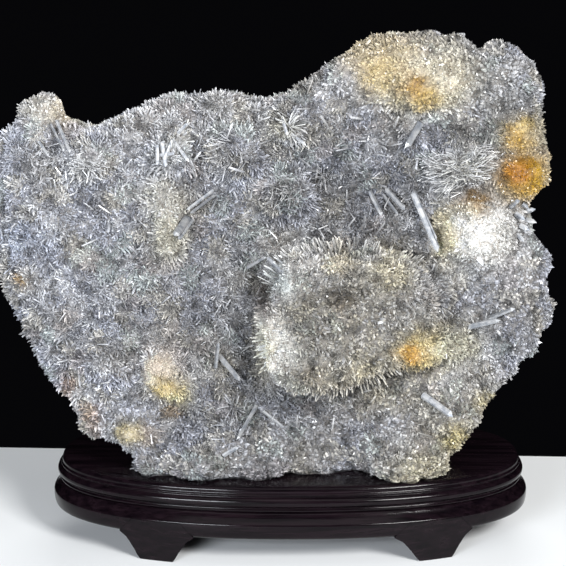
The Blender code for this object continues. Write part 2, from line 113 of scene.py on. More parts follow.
# Where the rim reaches beyond that line: name, u, v, spread, millimetres
RIM_REACH = (
    ("upper right", 150, 219, 27, 5.5),
    ("beside the white ball", 150, 138, 28, 4.5),
    ("lobe top", 60, 256, 26, 5.0),
    ("lobe top right", 104, 252, 18, 4.0),
    ("left of the humps", -118, 203, 16, 3.5),
    ("low left", -116, 20, 14, 7.0),
    ("low right", 108, 20, 12, 4.0),
    ("upper right corner", 146, 226, 10, -1.0),
    ("golden cap's side", 151, 180, 12, 4.5),
    ("top middle", 0, 221, 24, 2.5),
    ("lobe's left", 43, 248, 11, 3.0),
    ("top, left of the middle", -38, 220, 14, 2.0),
    ("right bulge", 152, 124, 10, 3.5),
    ("right end", 156, 94, 12, 2.5),
    ("notch beside the lobe's peak", 89, 254, 5, -2.5),
    ("second notch", 110, 249, 6, -4.0),
    ("lobe's left foot", 24, 238, 8, 1.5),
    ("lower left", -140, 42, 28, 6.0),
    ("lower right", 128, 45, 20, 3.0),
    ("knob's side", -165, 204, 15, 3.0),
    ("upper left hump", -66, 222, 14, 2.5),
)

# Broad swells and hollows of the front face: name, u, v, spread along u and v, height
SWELLS = (
    ("left dome", -85, 125, 55, 60, 5.0),
    ("upper right lobe", 82, 228, 52, 20, 9.0),
    ("hollow above the great lump", 40, 168, 44, 22, -7.0),
    ("shadowed hollow beside it", -30, 80, 12, 40, -7.0),
    ("right shoulder", 125, 80, 28, 26, 7.0),
    ("trough under the great lump", 40, 36, 55, 10, -7.0),
    ("bottom left swell", -58, 0, 28, 16, 7.0),
    ("bottom arch", 20, -4, 17, 14, -6.0),
    ("bottom right swell", 67, 0, 24, 16, 9.0),
)

# Rounded tufts that stand out of the plate: name, u, v, w of the centre, radii along u, v, w
TUFTS = (
    ("top left knob", -143, 209, 8, 12, 14, 15),
    ("knob's left side", -152, 207, 7, 10, 12, 12),
    ("spray", -117, 179, 24, 15, 15, 12),
    ("white bundle", -70, 184, 27, 12, 11, 9),
    ("yellow ridge top", -72, 158, 30, 10, 13, 9),
    ("yellow ridge", -69, 136, 31, 10, 14, 9),
    ("centre left hump", -32, 185, 24, 19, 18, 12),
    ("centre hump", -1, 160, 24, 17, 17, 12),
    ("top hump", -43, 213, 14, 14, 9, 15),
    ("top centre hump", 2, 212, 14, 15, 9, 14),
    ("burst", -2, 200, 26, 13, 12, 9),
    ("lobe crown", 76, 224, 28, 24, 17, 14),
    ("lobe left", 36, 232, 22, 18, 13, 12),
    ("lobe right", 122, 226, 22, 18, 18, 13),
    ("lobe's peak", 79, 252, 8, 8, 7, 8),
    ("lobe's bump", 98, 252, 8, 7, 6, 8),
    ("lobe's corner", 122, 246, 6, 11, 7, 8),
    ("golden cap", 134, 195, 18, 14, 12, 14),
    ("orange ball", 135, 173, 20, 17, 16, 19),
    ("fan", 104, 176, 22, 16, 11, 12),
    ("white ball", 109, 138, 26, 23, 22, 24),
    ("right edge bump", 150, 94, 8, 9, 9, 10),
    ("milky bump", 134, 76, 24, 14, 13, 12),
    ("orange mound", 74, 73, 34, 18, 14, 16),
    ("yellow mound", 95, 72, 28, 12, 10, 12),
    ("lower right mound", 96, 30, 22, 18, 14, 12),
    ("cream ball", -77, 61, 30, 10, 10, 10),
    ("yellow lump", -73, 48, 29, 10, 7, 8),
    ("left mound", -140, 150, 20, 20, 24, 10),
    ("low left mound", -112, 66, 24, 18, 17, 10),
    ("bottom left mound", -93, 21, 22, 13, 11, 12),
    ("bottom mound", -34, 14, 26, 18, 12, 10),
    ("skirt, left", -80, 2, 18, 14, 12, 16),
    ("skirt, left of the middle", -52, 2, 25, 20, 12, 19),
    ("skirt, middle", -20, 2, 24, 22, 12, 17),
    ("skirt, arch", 16, 0, 18, 18, 10, 12),
    ("skirt, right", 66, 2, 28, 22, 12, 18),
    ("skirt, right end", 84, 2, 22, 12, 12, 18),
    ("lump's pale tuft", 5, 121, 50, 13, 11, 13),
    ("lump's cream tuft", 28, 122, 51, 12, 10, 13),
    ("lump's yellow tuft", 54, 117, 50, 14, 11, 13),
    ("lump's white flank", -8, 76, 42, 9, 20, 17),
    ("lump's lower left", 10, 61, 50, 14, 11, 13),
    ("lump's foot", 34, 62, 51, 14, 10, 13),
    ("lump's right", 62, 94, 50, 14, 14, 12),
    ("lump's middle", 11, 97, 52, 13, 10, 13),
    ("lump's right slope", 86, 106, 24, 16, 19, 18),
    ("lump's lower right slope", 98, 90, 20, 15, 13, 14),
)

# The great lump in front of the middle: its outline, then (size, depth) up its sides
LUMP_OUTLINE = (
    (-18, 92), (-16, 76), (-12, 60), (-4, 50), (12, 46), (30, 49), (46, 55), (64, 64),
    (76, 72), (84, 84), (84, 104), (76, 122), (56, 131), (44, 133), (28, 132),
    (12, 132), (-2, 128), (-9, 116), (-14, 104),
)
LUMP_MIDDLE = (33, 92)
LUMP_HEART = (33, 92, 22)  # what the lump's crystals splay away from
LUMP_SIDES = (
    (0.86, 10), (0.92, 24), (1.0, 38), (1.0, 46), (0.95, 53), (0.84, 58.5),
    (0.66, 61), (0.42, 62), (0.2, 62.5),
)

# ---------------- the bed under the crystals

BED_VOXEL = 2.9 * MM
BED_SUNK = 2.1  # how far the bed lies inside the solid, to leave room for the crystals
VELVET_SUNK = 1.2  # the same where the crystals are short and dense as velvet
BACK_FACET = 14.0  # size of the broken facets on the back
BACK_RELIEF = 2.6
BACK_STEP = 2.6  # from one facet to the next
BACK_GRAIN = 5.0
BACK_ROUGHNESS = 0.9
BACK_SUNK = 1.4
CAST_LEVEL = 120.0  # in front of everything, where rays towards the bed start
OFF_BED_LEVEL = RIM_LEVEL + 8.0  # for an end of a large crystal that lies beyond the bed

# ---------------- the crystals' growth

ROSETTE_SPACING = 11.0
ROSETTE_RELIEF = 2.2  # how far a rosette's middle stands above the valleys round it
ROSETTE_ROOT = (3.5, 9.0)  # how deep the point lies that a rosette's crystals radiate from
ROSETTE_TINTS = (  # sRGB colour that multiplies a rosette's crystals, and how common it is
    ((255, 255, 255), 0.34),
    ((255, 250, 238), 0.18),
    ((254, 247, 244), 0.10),
    ((246, 253, 247), 0.10),
    ((247, 248, 254), 0.16),
    ((238, 240, 246), 0.12),
)
ROOT_DEPTH = 1.8
LOW_CRYSTALS = 9.0 * MM  # the height over the platform up to which crystals are turned up
LEAST_RISE = 0.12
CRYSTAL_CLEARANCE = 0.9 * MM
MOST_TRIANGLES = 195000  # in one piece
TRIES = 5  # random places tried for every cell
LAST_TURNED = -0.55  # no crystals where the bed is turned further from the front than this
REAR_TURNED = -0.1  # beyond this some are left out
REAR_THINNING = 0.25  # the share left out there
LEAST_OUTWARD = 0.25  # how far at least a crystal points out of the bed
DISORDER = 0.4
FELTED_DISORDER = 0.22  # on top of that
ROSETTE_SHAKE = 0.8  # how far rosettes reach into each other
CRYSTAL_FLATNESS = (0.7, 1.0)

# By what share crystals are shorter in each sort of place
COARSE_SHORTER = 0.3  # the coarse sort
OTHERS_SHORTER = 0.45  # the other sorts, in the coarse places
VELVET_SHORTER = 0.5
MILKY_SHORTER = 0.3
POCKET_SHORTER = 0.4
REAR_LENGTH = 0.52  # what is left of it where the bed is turned away

TUFT_HEART_DEPTH = 4.0  # how deep under a tuft's centre the point lies that its crystals splay from
TUFT_REACH = 1.12  # as a share of a tuft's radii
LUMP_START = 34.0  # crystals further out than this, and this near its middle, are the great lump's
LUMP_REACH = (58.0, 50.0)
FRINGE_ROOT = 2.0
STRAY_STICKS = 150
STRAY_SPACING = 7.0
STRAY_FACING = 0.72
STRAY_BOX = ((-142, 118), (18, 236), (14, 45))  # from where to where in u, v and w

# The sorts of crystals that cover the bed, with their ranges of radii and lengths. A coarse sort
# grows in the coarse places, one that isn't grows outside them, and None grows in both.
Layer = namedtuple("Layer", "spacing sides shouldered radii lengths coarse")
LAYERS = {
    "needles": Layer(1.585, 4, True, (0.3, 0.64), (2.2, 5.2), False),
    "stubs": Layer(2.1, 4, True, (0.65, 1.25), (2.0, 4.4), True),
    "spikes": Layer(1.22, 4, False, (0.38, 0.66), (1.8, 3.8), None),
}

# Where the crystals are short and thick: name, u, v, spread along u and v, share
COARSE_PLACES = (
    ("upper right lobe", 86, 230, 66, 30, 1.0),
    ("right side", 140, 115, 40, 75, 0.9),
    ("great lump face", 38, 85, 40, 34, 0.55),
    ("lower right", 95, 28, 60, 40, 0.75),
    ("bottom", 10, 4, 110, 20, 0.8),
    ("top left knob", -140, 210, 20, 12, 0.9),
    ("lower left edge", -100, 18, 30, 22, 0.6),
)

# Where the crystals are very short and close: name, u, v, spread along u and v, share
VELVET_PLACES = (
    ("white ball", 109, 139, 21, 21, 1.0),
    ("white ball's rim", 91, 137, 8, 14, 0.8),
    ("orange ball", 136, 173, 16, 13, 1.0),
    ("golden cap", 133, 196, 12, 11, 0.9),
    ("lump white patch", -11, 75, 10, 21, 1.0),
    ("lump white corner", -4, 111, 9, 9, 0.8),
    ("cream ball", -77, 61, 10, 10, 1.0),
    ("yellow lump", -73, 49, 10, 6, 1.0),
    ("lobe cream", 62, 231, 26, 14, 0.7),
    ("lobe cream's right", 87, 225, 15, 12, 1.0),
    ("orange mound", 73, 72, 12, 9, 0.7),
    ("ridge cream", -71, 148, 8, 22, 0.5),
    ("low yellow", -94, 21, 8, 6, 0.6),
    ("knob", -141, 209, 13, 10, 0.6),
)

# Where the crystals lie in every direction, as in felt
FELTED_PLACES = (
    ("far left", -150, 150, 40, 50, 0.9),
    ("left middle", -105, 110, 50, 40, 0.9),
    ("left of the lump", -40, 110, 30, 40, 0.6),
    ("above the lump", 45, 165, 45, 22, 0.7),
    ("lower middle", 10, 22, 80, 22, 0.6),
)

# Sprays of long needles: name, u, v, number, length, greatest lean, the way they point and the
# spread about it, all in degrees, how far out they start, and radius
SPRAYS = (
    ("upper left spray", -117, 179, 40, (3, 6), 80, -90, 110, 8, (0.22, 0.36)),
    ("centre left hump", -36, 186, 80, (3.5, 7), 84, 205, 50, 13, (0.2, 0.34)),
    ("centre hump", -1, 164, 40, (3, 6), 82, 250, 60, 11, (0.2, 0.34)),
    ("burst", -1, 201, 30, (4, 6.5), 75, 0, 180, 5, (0.24, 0.4)),
    ("fan's left sheaf", 86, 176, 120, (5, 8), 88, 168, 22, 9, (0.2, 0.32)),
    ("fan's right sheaf", 106, 180, 130, (5, 8), 88, 15, 25, 9, (0.2, 0.32)),
    ("fan's foot", 94, 169, 110, (4, 7), 86, 195, 40, 9, (0.2, 0.32)),
    ("low spray", -34, 36, 40, (4, 6.5), 78, 0, 180, 5, (0.24, 0.4)),
    ("hollow spray", 20, 172, 30, (4, 6.5), 78, 0, 180, 5, (0.24, 0.4)),
)

# Rows of needles along the great lump's edge: name, corners (u, v, w), number, length
FRINGES = (
    ("top", ((-12, 113, 46), (-3, 128, 48), (12, 132, 48), (40, 133, 48), (72, 124, 44)), 110, (3, 6.5)),
    ("left", ((-16, 96, 40), (-18, 78, 42), (-13, 60, 42)), 55, (2, 4.5)),
    ("foot", ((10, 47, 42), (30, 50, 44), (48, 56, 44), (66, 65, 44)), 55, (2.5, 5)),
)

# Large single crystals: name, root u, v, tip u, v, rise of the tip, thickness, flattening, tone
LARGE_CRYSTALS = (
    ("long blade", 71, 163, 85, 129, 10, 3.9, 0.5, 0.7),
    ("long blade's pair", 73, 161, 84, 136, 9, 1.8, 0.8, 0.55),
    ("blade beside it", 46, 163, 53, 149, 8, 3.0, 0.6, 0.6),
    ("second blade", 56, 164, 66, 153, 9, 3.4, 0.6, 0.54),
    ("second blade's pair", 54, 161, 62, 150, 8, 2.0, 0.7, 0.5),
    ("lobe blade", 75, 203, 66, 188, 8, 4.2, 0.5, 0.56),
    ("ridge crystal", -60, 148, -66, 139, 10, 4.6, 0.6, 0.66),
    ("ridge crystal's pair", -57, 147, -64, 137, 9, 2.8, 0.7, 0.5),
    ("grey blade", -45, 164, -60, 153, 8, 2.2, 0.7, 0.55),
    ("grey blade's pair", -44, 161, -58, 151, 8, 1.8, 0.7, 0.45),
    ("left grey crystal", -42, 67, -29, 53, 9, 3.4, 0.6, 0.42),
    ("upright grey crystal", -44, 60, -42, 76, 9, 2.6, 0.7, 0.42),
    ("fallen stick", -20, 37, -31, 20, 6, 2.4, 0.9, 0.72),
    ("fallen stick's pair", -19, 36, -4, 25, 6, 2.0, 0.9, 0.55),
    ("short white crystal", -39, 10, -30, 17, 8, 2.8, 0.8, 0.8),
    ("white blue crystal", 78, 43, 94, 34, 8, 4.2, 0.6, 1.15),
    ("right clear crystal", 104, 85, 121, 90, 9, 3.4, 0.8, 0.55),
    ("right clear tip", 114, 89, 129, 97, 9, 3.0, 0.8, 0.6),
    ("upper left stick", -136, 204, -126, 186, 9, 2.2, 0.8, 0.85),
    ("upper left stick's pair", -139, 202, -130, 187, 8, 1.6, 0.8, 0.7),
    ("second stick", -146, 192, -139, 184, 8, 1.8, 0.8, 0.75),
    ("bundle blade 1", -74, 192, -71, 178, 10, 2.6, 0.4, 1.23),
    ("bundle blade 2", -77, 190, -76, 179, 10, 2.2, 0.4, 1.1),
    ("bundle blade 3", -68, 193, -72, 182, 11, 2.2, 0.4, 1.3),
    ("bundle blade 4", -78, 184, -66, 186, 10, 2.0, 0.4, 1.17),
    ("bundle stick", -67, 192, -58, 181, 10, 2.2, 0.7, 1.3),
    ("bundle top stick", -65, 197, -59, 203, 9, 2.0, 0.7, 0.98),
    ("burst stick", 0, 197, 9, 190, 9, 1.8, 0.8, 0.9),
    ("burst blade", -5, 206, -2, 196, 9, 2.2, 0.5, 0.95),
    ("lump corner blade", -4, 118, -14, 126, 12, 3.6, 0.4, 0.8),
    ("centre stick", -26, 118, -14, 126, 7, 2.0, 0.8, 0.55),
    ("clear block 1", 131, 150, 136, 147, 8, 3.6, 0.9, 0.85),
    ("clear block 2", 134, 143, 139, 141, 8, 3.6, 0.9, 0.8),
    ("clear block 3", 128, 154, 131, 159, 8, 3.0, 0.9, 0.75),
    ("clear block 4", 138, 151, 143, 153, 6, 3.2, 0.9, 0.85),
    ("clear block 5", 138, 146, 144, 145, 6, 3.2, 0.9, 0.75),
    ("clear block 6", 135, 156, 139, 153, 7, 2.8, 0.9, 0.7),
    ("clear block 7", 132, 138, 136, 134, 7, 3.0, 0.9, 0.8),
    ("white ball's block", 107, 126, 110, 122, 9, 3.2, 0.8, 1.3),
)

LARGE_COLOUR = (0.74, 0.75, 0.765)
LARGE_ROOT_RISE = 1.0  # over the bed
LARGE_TURN = 0.35  # radians about its axis from one large crystal to the next
# random tones of a large crystal's side and point faces: painted light and shade on its facets
SIDE_FACET_LIGHT_AND_SHADE = (0.45, 1.15)
POINT_FACET_LIGHT_AND_SHADE = (0.8, 1.25)

# Stains: name, u, v, spread along u and v, sRGB colour, strength
STAINS = (
    ("lobe yellow sweep", 50, 245, 26, 12, (232, 214, 174), 0.85),
    ("lobe left yellow", 53, 230, 13, 10, (238, 214, 152), 0.9),
    ("lobe cream", 87, 229, 22, 15, (242, 234, 208), 0.92),
    ("lobe lower cream", 72, 216, 20, 7, (232, 220, 180), 0.75),
    ("lobe orange heart", 71, 223, 8, 7, (212, 172, 96), 0.95),
    ("lobe orange tail", 77, 216, 7, 5, (236, 206, 132), 0.85),
    ("golden cap", 133, 197, 12, 10, (216, 194, 134), 0.9),
    ("golden cap heart", 131, 195, 6, 8, (228, 184, 84), 0.95),
    ("golden cap top", 136, 201, 5, 4, (240, 210, 120), 0.9),
    ("golden cap's pale side", 144, 197, 7, 9, (234, 220, 190), 0.7),
    ("orange ball", 136, 171, 16, 14, (214, 172, 40), 1.0),
    ("orange ball heart", 131, 174, 8, 7, (218, 144, 0), 1.0),
    ("orange ball's pale side", 153, 173, 6, 14, (222, 204, 166), 0.92),
    ("white ball", 109, 138, 22, 20, (249, 248, 242), 1.0),
    ("white ball's yellow rim", 89, 137, 6, 15, (250, 238, 200), 0.9),
    ("white ball's yellow top", 100, 154, 8, 4, (246, 228, 182), 0.6),
    ("golden brown patch", 108, 160, 7, 5, (202, 160, 92), 0.9),
    ("lump warmth", 30, 85, 45, 42, (228, 216, 182), 0.5),
    ("lump white patch", -9, 77, 9, 18, (252, 251, 244), 1.0),
    ("lump white patch's edge", -15, 72, 4, 14, (248, 242, 216), 0.8),
    ("lump white corner", -5, 114, 7, 7, (242, 248, 244), 0.85),
    ("lump pale tuft", 7, 124, 9, 6, (244, 240, 232), 0.7),
    ("lump cream tuft", 28, 124, 8, 6, (242, 230, 202), 0.7),
    ("lump yellow tuft", 56, 119, 11, 10, (246, 234, 196), 0.7),
    ("lump brown hollow", 29, 104, 9, 6, (188, 168, 134), 0.5),
    ("lump reddish gap", -15, 100, 5, 8, (176, 146, 136), 0.5),
    ("lump granular white", 5, 73, 7, 8, (244, 242, 234), 0.7),
    ("lump white blob", 30, 64, 5, 4, (246, 247, 248), 0.7),
    ("lump cream foot", 42, 64, 9, 5, (246, 236, 204), 0.7),
    ("lump tan foot", 24, 58, 24, 8, (228, 216, 186), 0.5),
    ("lump pale right", 64, 93, 8, 8, (240, 240, 236), 0.5),
    ("lower right cream", 60, 40, 16, 8, (238, 226, 192), 0.5),
    ("orange mound ring", 76, 73, 15, 12, (248, 226, 160), 0.95),
    ("orange mound heart", 69, 71, 6, 5, (240, 186, 84), 0.95),
    ("yellow mound", 95, 73, 14, 10, (250, 246, 222), 0.92),
    ("cream ball", -76, 61, 10, 9, (244, 231, 212), 0.97),
    ("yellow lump", -72, 48, 9, 6, (246, 224, 160), 0.95),
    ("yellow tail", -66, 42, 7, 5, (244, 234, 190), 0.75),
    ("tan spot", -70, 33, 5, 3, (216, 182, 134), 0.65),
    ("low yellow", -94, 21, 9, 7, (214, 198, 148), 0.85),
    ("low pink", -82, 20, 6, 5, (236, 220, 212), 0.55),
    ("ridge cream top", -73, 160, 10, 12, (248, 244, 232), 0.85),
    ("ridge cream", -70, 138, 9, 13, (246, 240, 218), 0.85),
    ("white bundle", -70, 185, 8, 6, (248, 250, 248), 0.9),
    ("burst white", -1, 201, 6, 5, (248, 250, 248), 0.9),
    ("burst yellow", -8, 199, 7, 6, (242, 236, 208), 0.65),
    ("spray white", -117, 179, 8, 7, (248, 248, 244), 0.85),
    ("knob tan", -133, 210, 7, 9, (206, 188, 150), 0.75),
    ("knob cream", -148, 211, 10, 8, (244, 240, 226), 0.8),
    ("left tan spot", -158, 111, 4, 4, (204, 170, 116), 0.85),
    ("left blue tinge", -160, 138, 16, 10, (206, 218, 244), 0.5),
    ("fan cream", 100, 176, 14, 9, (244, 242, 230), 0.6),
    ("lower right yellow", 80, 0, 22, 11, (244, 234, 198), 0.8),
    ("lower right warmth", 96, 30, 26, 20, (236, 226, 196), 0.4),
    ("right edge yellow", 116, 38, 7, 6, (242, 226, 168), 0.7),
    ("right lower edge yellow", 98, 19, 8, 9, (244, 226, 160), 0.85),
    ("top edge tan", 0, 224, 22, 4, (222, 208, 176), 0.35),
    ("top edge warmth", -55, 210, 65, 14, (230, 226, 216), 0.4),
    ("lobe grey", 120, 215, 22, 22, (214, 214, 208), 0.3),
    ("lower left rust", -132, 47, 5, 9, (192, 162, 140), 0.7),
    ("lower left rust's foot", -117, 29, 5, 9, (198, 168, 140), 0.7),
)

# Places where the crystals are darker or paler: name, u, v, spread along u and v, brightness. Most rows
# are the crystals' own tones; the rows marked below, and the ledge shadow, are painted light or shade.
SHADES = (
    ("left, paler", -140, 150, 60, 70, 1.26),
    ("upper left, paler", -90, 190, 45, 35, 1.33),
    ("top edge, paler", -60, 212, 60, 14, 1.22),
    ("lump white, paler", -9, 77, 10, 18, 1.2),
    # painted light: the lump's top made paler, as if lit from above
    ("lump top, paler", 25, 123, 42, 9, 1.28),
    ("cream ball, paler", -77, 61, 9, 9, 1.08),
    # painted shade in the pocket under the cream ball
    ("pocket under the cream ball", -84, 40, 8, 8, 0.74),
    # painted shadow of the great lump, below it
    ("below the lump", 30, 36, 50, 10, 0.88),
    ("lower right", 95, 25, 35, 22, 0.88),
    ("lower left, paler", -115, 45, 30, 24, 1.45),
    ("lobe cream, paler", 68, 230, 32, 15, 1.08),
    ("lobe's grey side", 118, 222, 26, 24, 0.88),
    ("orange ball", 133, 173, 12, 11, 0.82),
    # painted light that lifts the shaded rim of the white ball
    ("white ball's rim, paler", 95, 138, 12, 16, 1.25),
    ("fan, paler", 104, 176, 14, 10, 1.12),
    ("yellow mound, paler", 95, 73, 13, 9, 1.15),
    ("orange spot, paler", 70, 72, 8, 6, 1.14),
    # painted shade: the lump's face darker than its top, as light falls from above
    ("lump face", 36, 88, 34, 28, 0.8),
    # painted shadow beside the great lump
    ("beside the lump", -27, 78, 7, 32, 0.58),
    # painted shade in the hollow above the great lump
    ("hollow", 45, 166, 40, 16, 0.68),
    ("ledge shadow", 100, 199, 20, 4, 0.6),
    ("ledge shadow's left end", 66, 196, 14, 4, 0.75),
    # painted shade in the golden patch's gaps
    ("golden patch's gaps", 109, 162, 8, 5, 0.5),
    # painted shade in the gap at the lump's upper left
    ("gap at the lump's upper left", -15, 102, 4, 9, 0.45),
    # painted shade in the lump's hollows: the brown hollow and the two dark spots
    ("brown hollow of the lump", 29, 105, 10, 6, 0.62),
    ("dark spot of the lump", 3, 88, 5, 3, 0.6),
    ("second dark spot", 13, 82, 5, 3, 0.65),
    # painted shade under the pale tuft
    ("below the pale tuft", 10, 107, 10, 3, 0.7),
    # painted shade in the crevice under the great lump, in three rows
    ("crevice", 32, 47, 12, 3, 0.4),
    ("crevice's middle", 48, 52, 9, 3, 0.35),
    ("crevice's right end", 66, 62, 9, 3, 0.4),
    # painted shade over the bottom middle, below the great lump
    ("bottom middle", 10, 10, 60, 16, 0.78),
    ("right, darker", 128, 95, 26, 28, 0.82),
    ("lobe, right", 128, 214, 18, 16, 0.88),
)

CRYSTAL_KINDS = (  # sRGB colour of a crystal, and how common it is
    ((219, 220, 225), 0.42),
    ((231, 232, 235), 0.26),
    ((207, 209, 215), 0.22),
    ((152, 154, 162), 0.10),
)

PALEST_KIND = CRYSTAL_KINDS[1][0]  # most of the crystals in a rosette's middle
LUCK_DARKER = 0.56  # the most that one crystal is darker than its neighbours
POCKET_PAINTED_SHADE = 0.62
WARM_FIELD = (222, 214, 196)
COOL_FIELD = (200, 204, 216)
PALE_NEEDLE = (240, 241, 242)
STAIN_WANDER = 3.5  # how far a stain's edge strays
ROCK = (176, 170, 160)
ROCK_VEIN = (228, 226, 222)
ROCK_RUST = (166, 124, 80)

# How bright a crystal is at its root, there in the middle of a rosette, at its shoulder and tip
# The dark roots are painted shade in the gaps between the crystals.
ROOT_PAINTED_SHADE = 0.13
MIDDLE_ROOT_PAINTED_SHADE = 0.54
SHOULDER_TONE = 1.0
TIP_TONE = 1.02
SHOULDER_WIDTH = 0.93  # of its root's
MAP_SHOULDER = 0.75  # how high up its cell of the map the shoulder lies
CELL_MARGIN = 0.06

QUARTZ_IOR = 1.544
CRACK_SCALE = 70.0  # per metre
CRACK_WANDER = 0.02

# ---------------- stand

BOARD_SEGMENTS = 256

# The boards' edges from the bottom up: millimetres outside the lower board's oval, and height
BASE_PROFILE = (
    (-2.6, 17.5), (-1.4, 18.1), (-0.6, 19.4), (-0.2, 21.5), (0.0, 24.0), (0.0, 26.0),
    (-0.3, 27.0), (-1.1, 27.8), (-2.5, 29.4), (-3.7, 31.0), (-4.5, 32.2), (-5.3, 32.8),
    (-6.6, 33.0),
)
PLATFORM_PROFILE = (
    (-6.6, 33.2), (-5.0, 33.3), (-4.3, 33.8), (-4.2, 34.4), (-4.8, 35.0), (-5.0, 35.6),
    (-4.4, 36.2), (-3.3, 37.0), (-2.7, 38.4), (-2.7, 39.6), (-3.2, 40.8), (-4.2, 41.7),
    (-5.0, 42.1), (-5.1, 42.6), (-4.7, 43.1), (-4.8, 43.6), (-5.4, 44.2), (-5.6, 45.2),
    (-5.8, 46.2), (-6.5, 47.2), (-7.7, 47.8), (-9.2, 48.0),
)

# A foot from the ground up: half its width, and height, in millimetres
FOOT_PROFILE = (
    (9.6, 0.0), (10.2, 0.5), (11.8, 2.6), (13.4, 5.4), (16.5, 10.0), (19.6, 14.0),
    (24.5, 17.2), (24.5, 17.6), (22.2, 20.0), (19.6, 22.4), (17.2, 24.6), (15.2, 26.3),
)
FOOT_SIDES = {"left": (0.8, 0.85), "right": (1.05, 0.8)}  # how far its left and right sides flare
FOOT_FLUSH = 21.0  # above this height a foot's face follows the board's edge
FOOT_COLUMNS = 28
SHARP_EDGE = math.radians(35.0)  # edges of the stand that bend more than this stay crisp

# ---------------- camera, light and table

CAMERA_TARGET = Vector((-4.5 * MM, 0.0, 153.0 * MM))
CAMERA_DISTANCE = 1.05
CAMERA_DIP = math.radians(14.0)
IMAGE_SIDE = 566
METRES_PER_PIXEL = 0.0006  # at the target
TABLE_BACK_EDGE = 0.132  # how far behind the stand's centre it lies
TABLE_TURN = math.radians(-2.8)
TABLE_SIZE = (3.2, 2.4, 0.03)

# Lights: name, place, height of the target, size, power, colour, seen in reflections or not
LIGHTS = (
    ("key", (0.62, -1.02, 0.78), 0.16, (0.4, 0.32), 23.8, (1.0, 0.99, 0.98), True),
    ("window", (-0.48, -1.1, 0.42), 0.16, (0.45, 0.26), 15.8, (0.9, 0.94, 1.0), True),
    ("top", (0.0, -0.5, 1.2), 0.1, (1.0, 0.7), 2.5, WHITE, True),
    ("back", (0.1, 1.3, 0.62), 0.15, (1.0, 0.4), 12.0, WHITE, False),
)
NIGHT = (0.002, 0.002, 0.0025, 1.0)  # the studio's walls


def linear(r, g, b):
    """Linear colour of an sRGB one whose three parts run from 0 to 255."""
    return tuple(((c / 255 + 0.055) / 1.055) ** 2.4 if c > 10 else c / 255 / 12.92 for c in (r, g, b))


def clamped(value):
    return min(1.0, max(0.0, value))


def unit(rows):
    return rows / np.maximum(np.linalg.norm(rows, axis=1), 1e-12)[:, None]


def toward(colour, target, share):
    """Colours moved towards the target, each by its own share of the way."""
    return colour + (np.array(target) - colour) * share[:, None]


def patch_share(u, v, u0, v0, wide, tall):
    """A soft patch: 1 at its middle, and hardly anything beyond twice its spreads."""
    return np.exp(-((u - u0) / wide) ** 2 - ((v - v0) / tall) ** 2)


def spread_share(places, slab):
    """How strongly a table of named places acts at each point, 0 to 1."""
    share = np.zeros(len(slab))
    for _, u, v, wide, tall, amount in places:
        share = np.maximum(share, amount * patch_share(slab[:, 0], slab[:, 1], u, v, wide, tall))
    return np.clip(share * 1.3, 0.0, 1.0)


def smooth_noise(points, size, channel=0.0):
    """Smooth noise of about -1 to 1 at each point, for features of this size in millimetres."""
    scale = 1.0 / (size * MM)
    offset = Vector((channel, 2 * channel, 3 * channel))
    return np.array([noise.noise(Vector(point) * scale + offset) for point in points])


# ---------------- meshes and objects


def place_piece(obj, *nodes, slot):
    """Moves a piece from the stand's frame to its place, hangs it under the body and hides the parts it
    stands for.
    """
    obj.data.transform(Matrix.Translation(STAND_CENTRE))
    obj.data.update()
    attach(obj, BODY)
    if nodes:
        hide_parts(*nodes)


def add_object(name, mesh, finish=None):
    obj = bpy.data.objects.new(name, mesh)
    bpy.context.scene.collection.objects.link(obj)
    if finish:
        mesh.materials.clear()
        mesh.materials.append(finish)
    return obj


def mesh_from(name, bm):
    bmesh.ops.recalc_face_normals(bm, faces=bm.faces)
    mesh = bpy.data.meshes.new(name)
    bm.to_mesh(mesh)
    bm.free()
    return mesh


def baked(obj, name):
    """The object's mesh with its modifiers applied, as a new mesh; the object is removed."""
    bpy.context.view_layer.update()
    graph = bpy.context.evaluated_depsgraph_get()
    mesh = bpy.data.meshes.new_from_object(obj.evaluated_get(graph), depsgraph=graph)
    mesh.name = name
    bpy.data.objects.remove(obj, do_unlink=True)
    return mesh


def paint(mesh, colours, domain="POINT"):
    """Writes rows of linear colours, painted light and shade included, to the attribute that the
    materials read.
    """
    full = np.ones((len(colours), 4))
    full[:, :3] = np.clip(colours, 0.0, 1.0)
    tint = mesh.color_attributes.new(name="tint", type="FLOAT_COLOR", domain=domain)
    tint.data.foreach_set("color", full.ravel())


def stacked_rings(rings):
    """A closed body through a list of equally long rings of points, capped at both ends."""
    bm = bmesh.new()
    rows = [[bm.verts.new(point) for point in ring] for ring in rings]
    count = len(rows[0])
    for lower, upper in zip(rows, rows[1:]):
        for i in range(count):
            j = (i + 1) % count
            bm.faces.new((lower[i], lower[j], upper[j], upper[i]))
    bm.faces.new(rows[0][::-1])
    bm.faces.new(rows[-1])
    return bm


def curve_points(known, steps):
    """Catmull-Rom points between the inner ones of a row of known points."""
    points = []
    for i in range(len(known) - 3):
        before, start, end, after = known[i:i + 4]
        for t in np.linspace(0.0, 1.0, steps, endpoint=False):
            points.append(0.5 * (
                2 * start + (end - before) * t
                + (2 * before - 5 * start + 4 * end - after) * t ** 2
                + (3 * start - before - 3 * end + after) * t ** 3
            ))
    return points


def smooth_curve(points, steps):
    """Points along an open curve through a list of (a, b) pairs."""
    known = np.array([points[0], *points, points[-1]], float)
    return [*curve_points(known, steps), known[-1]]


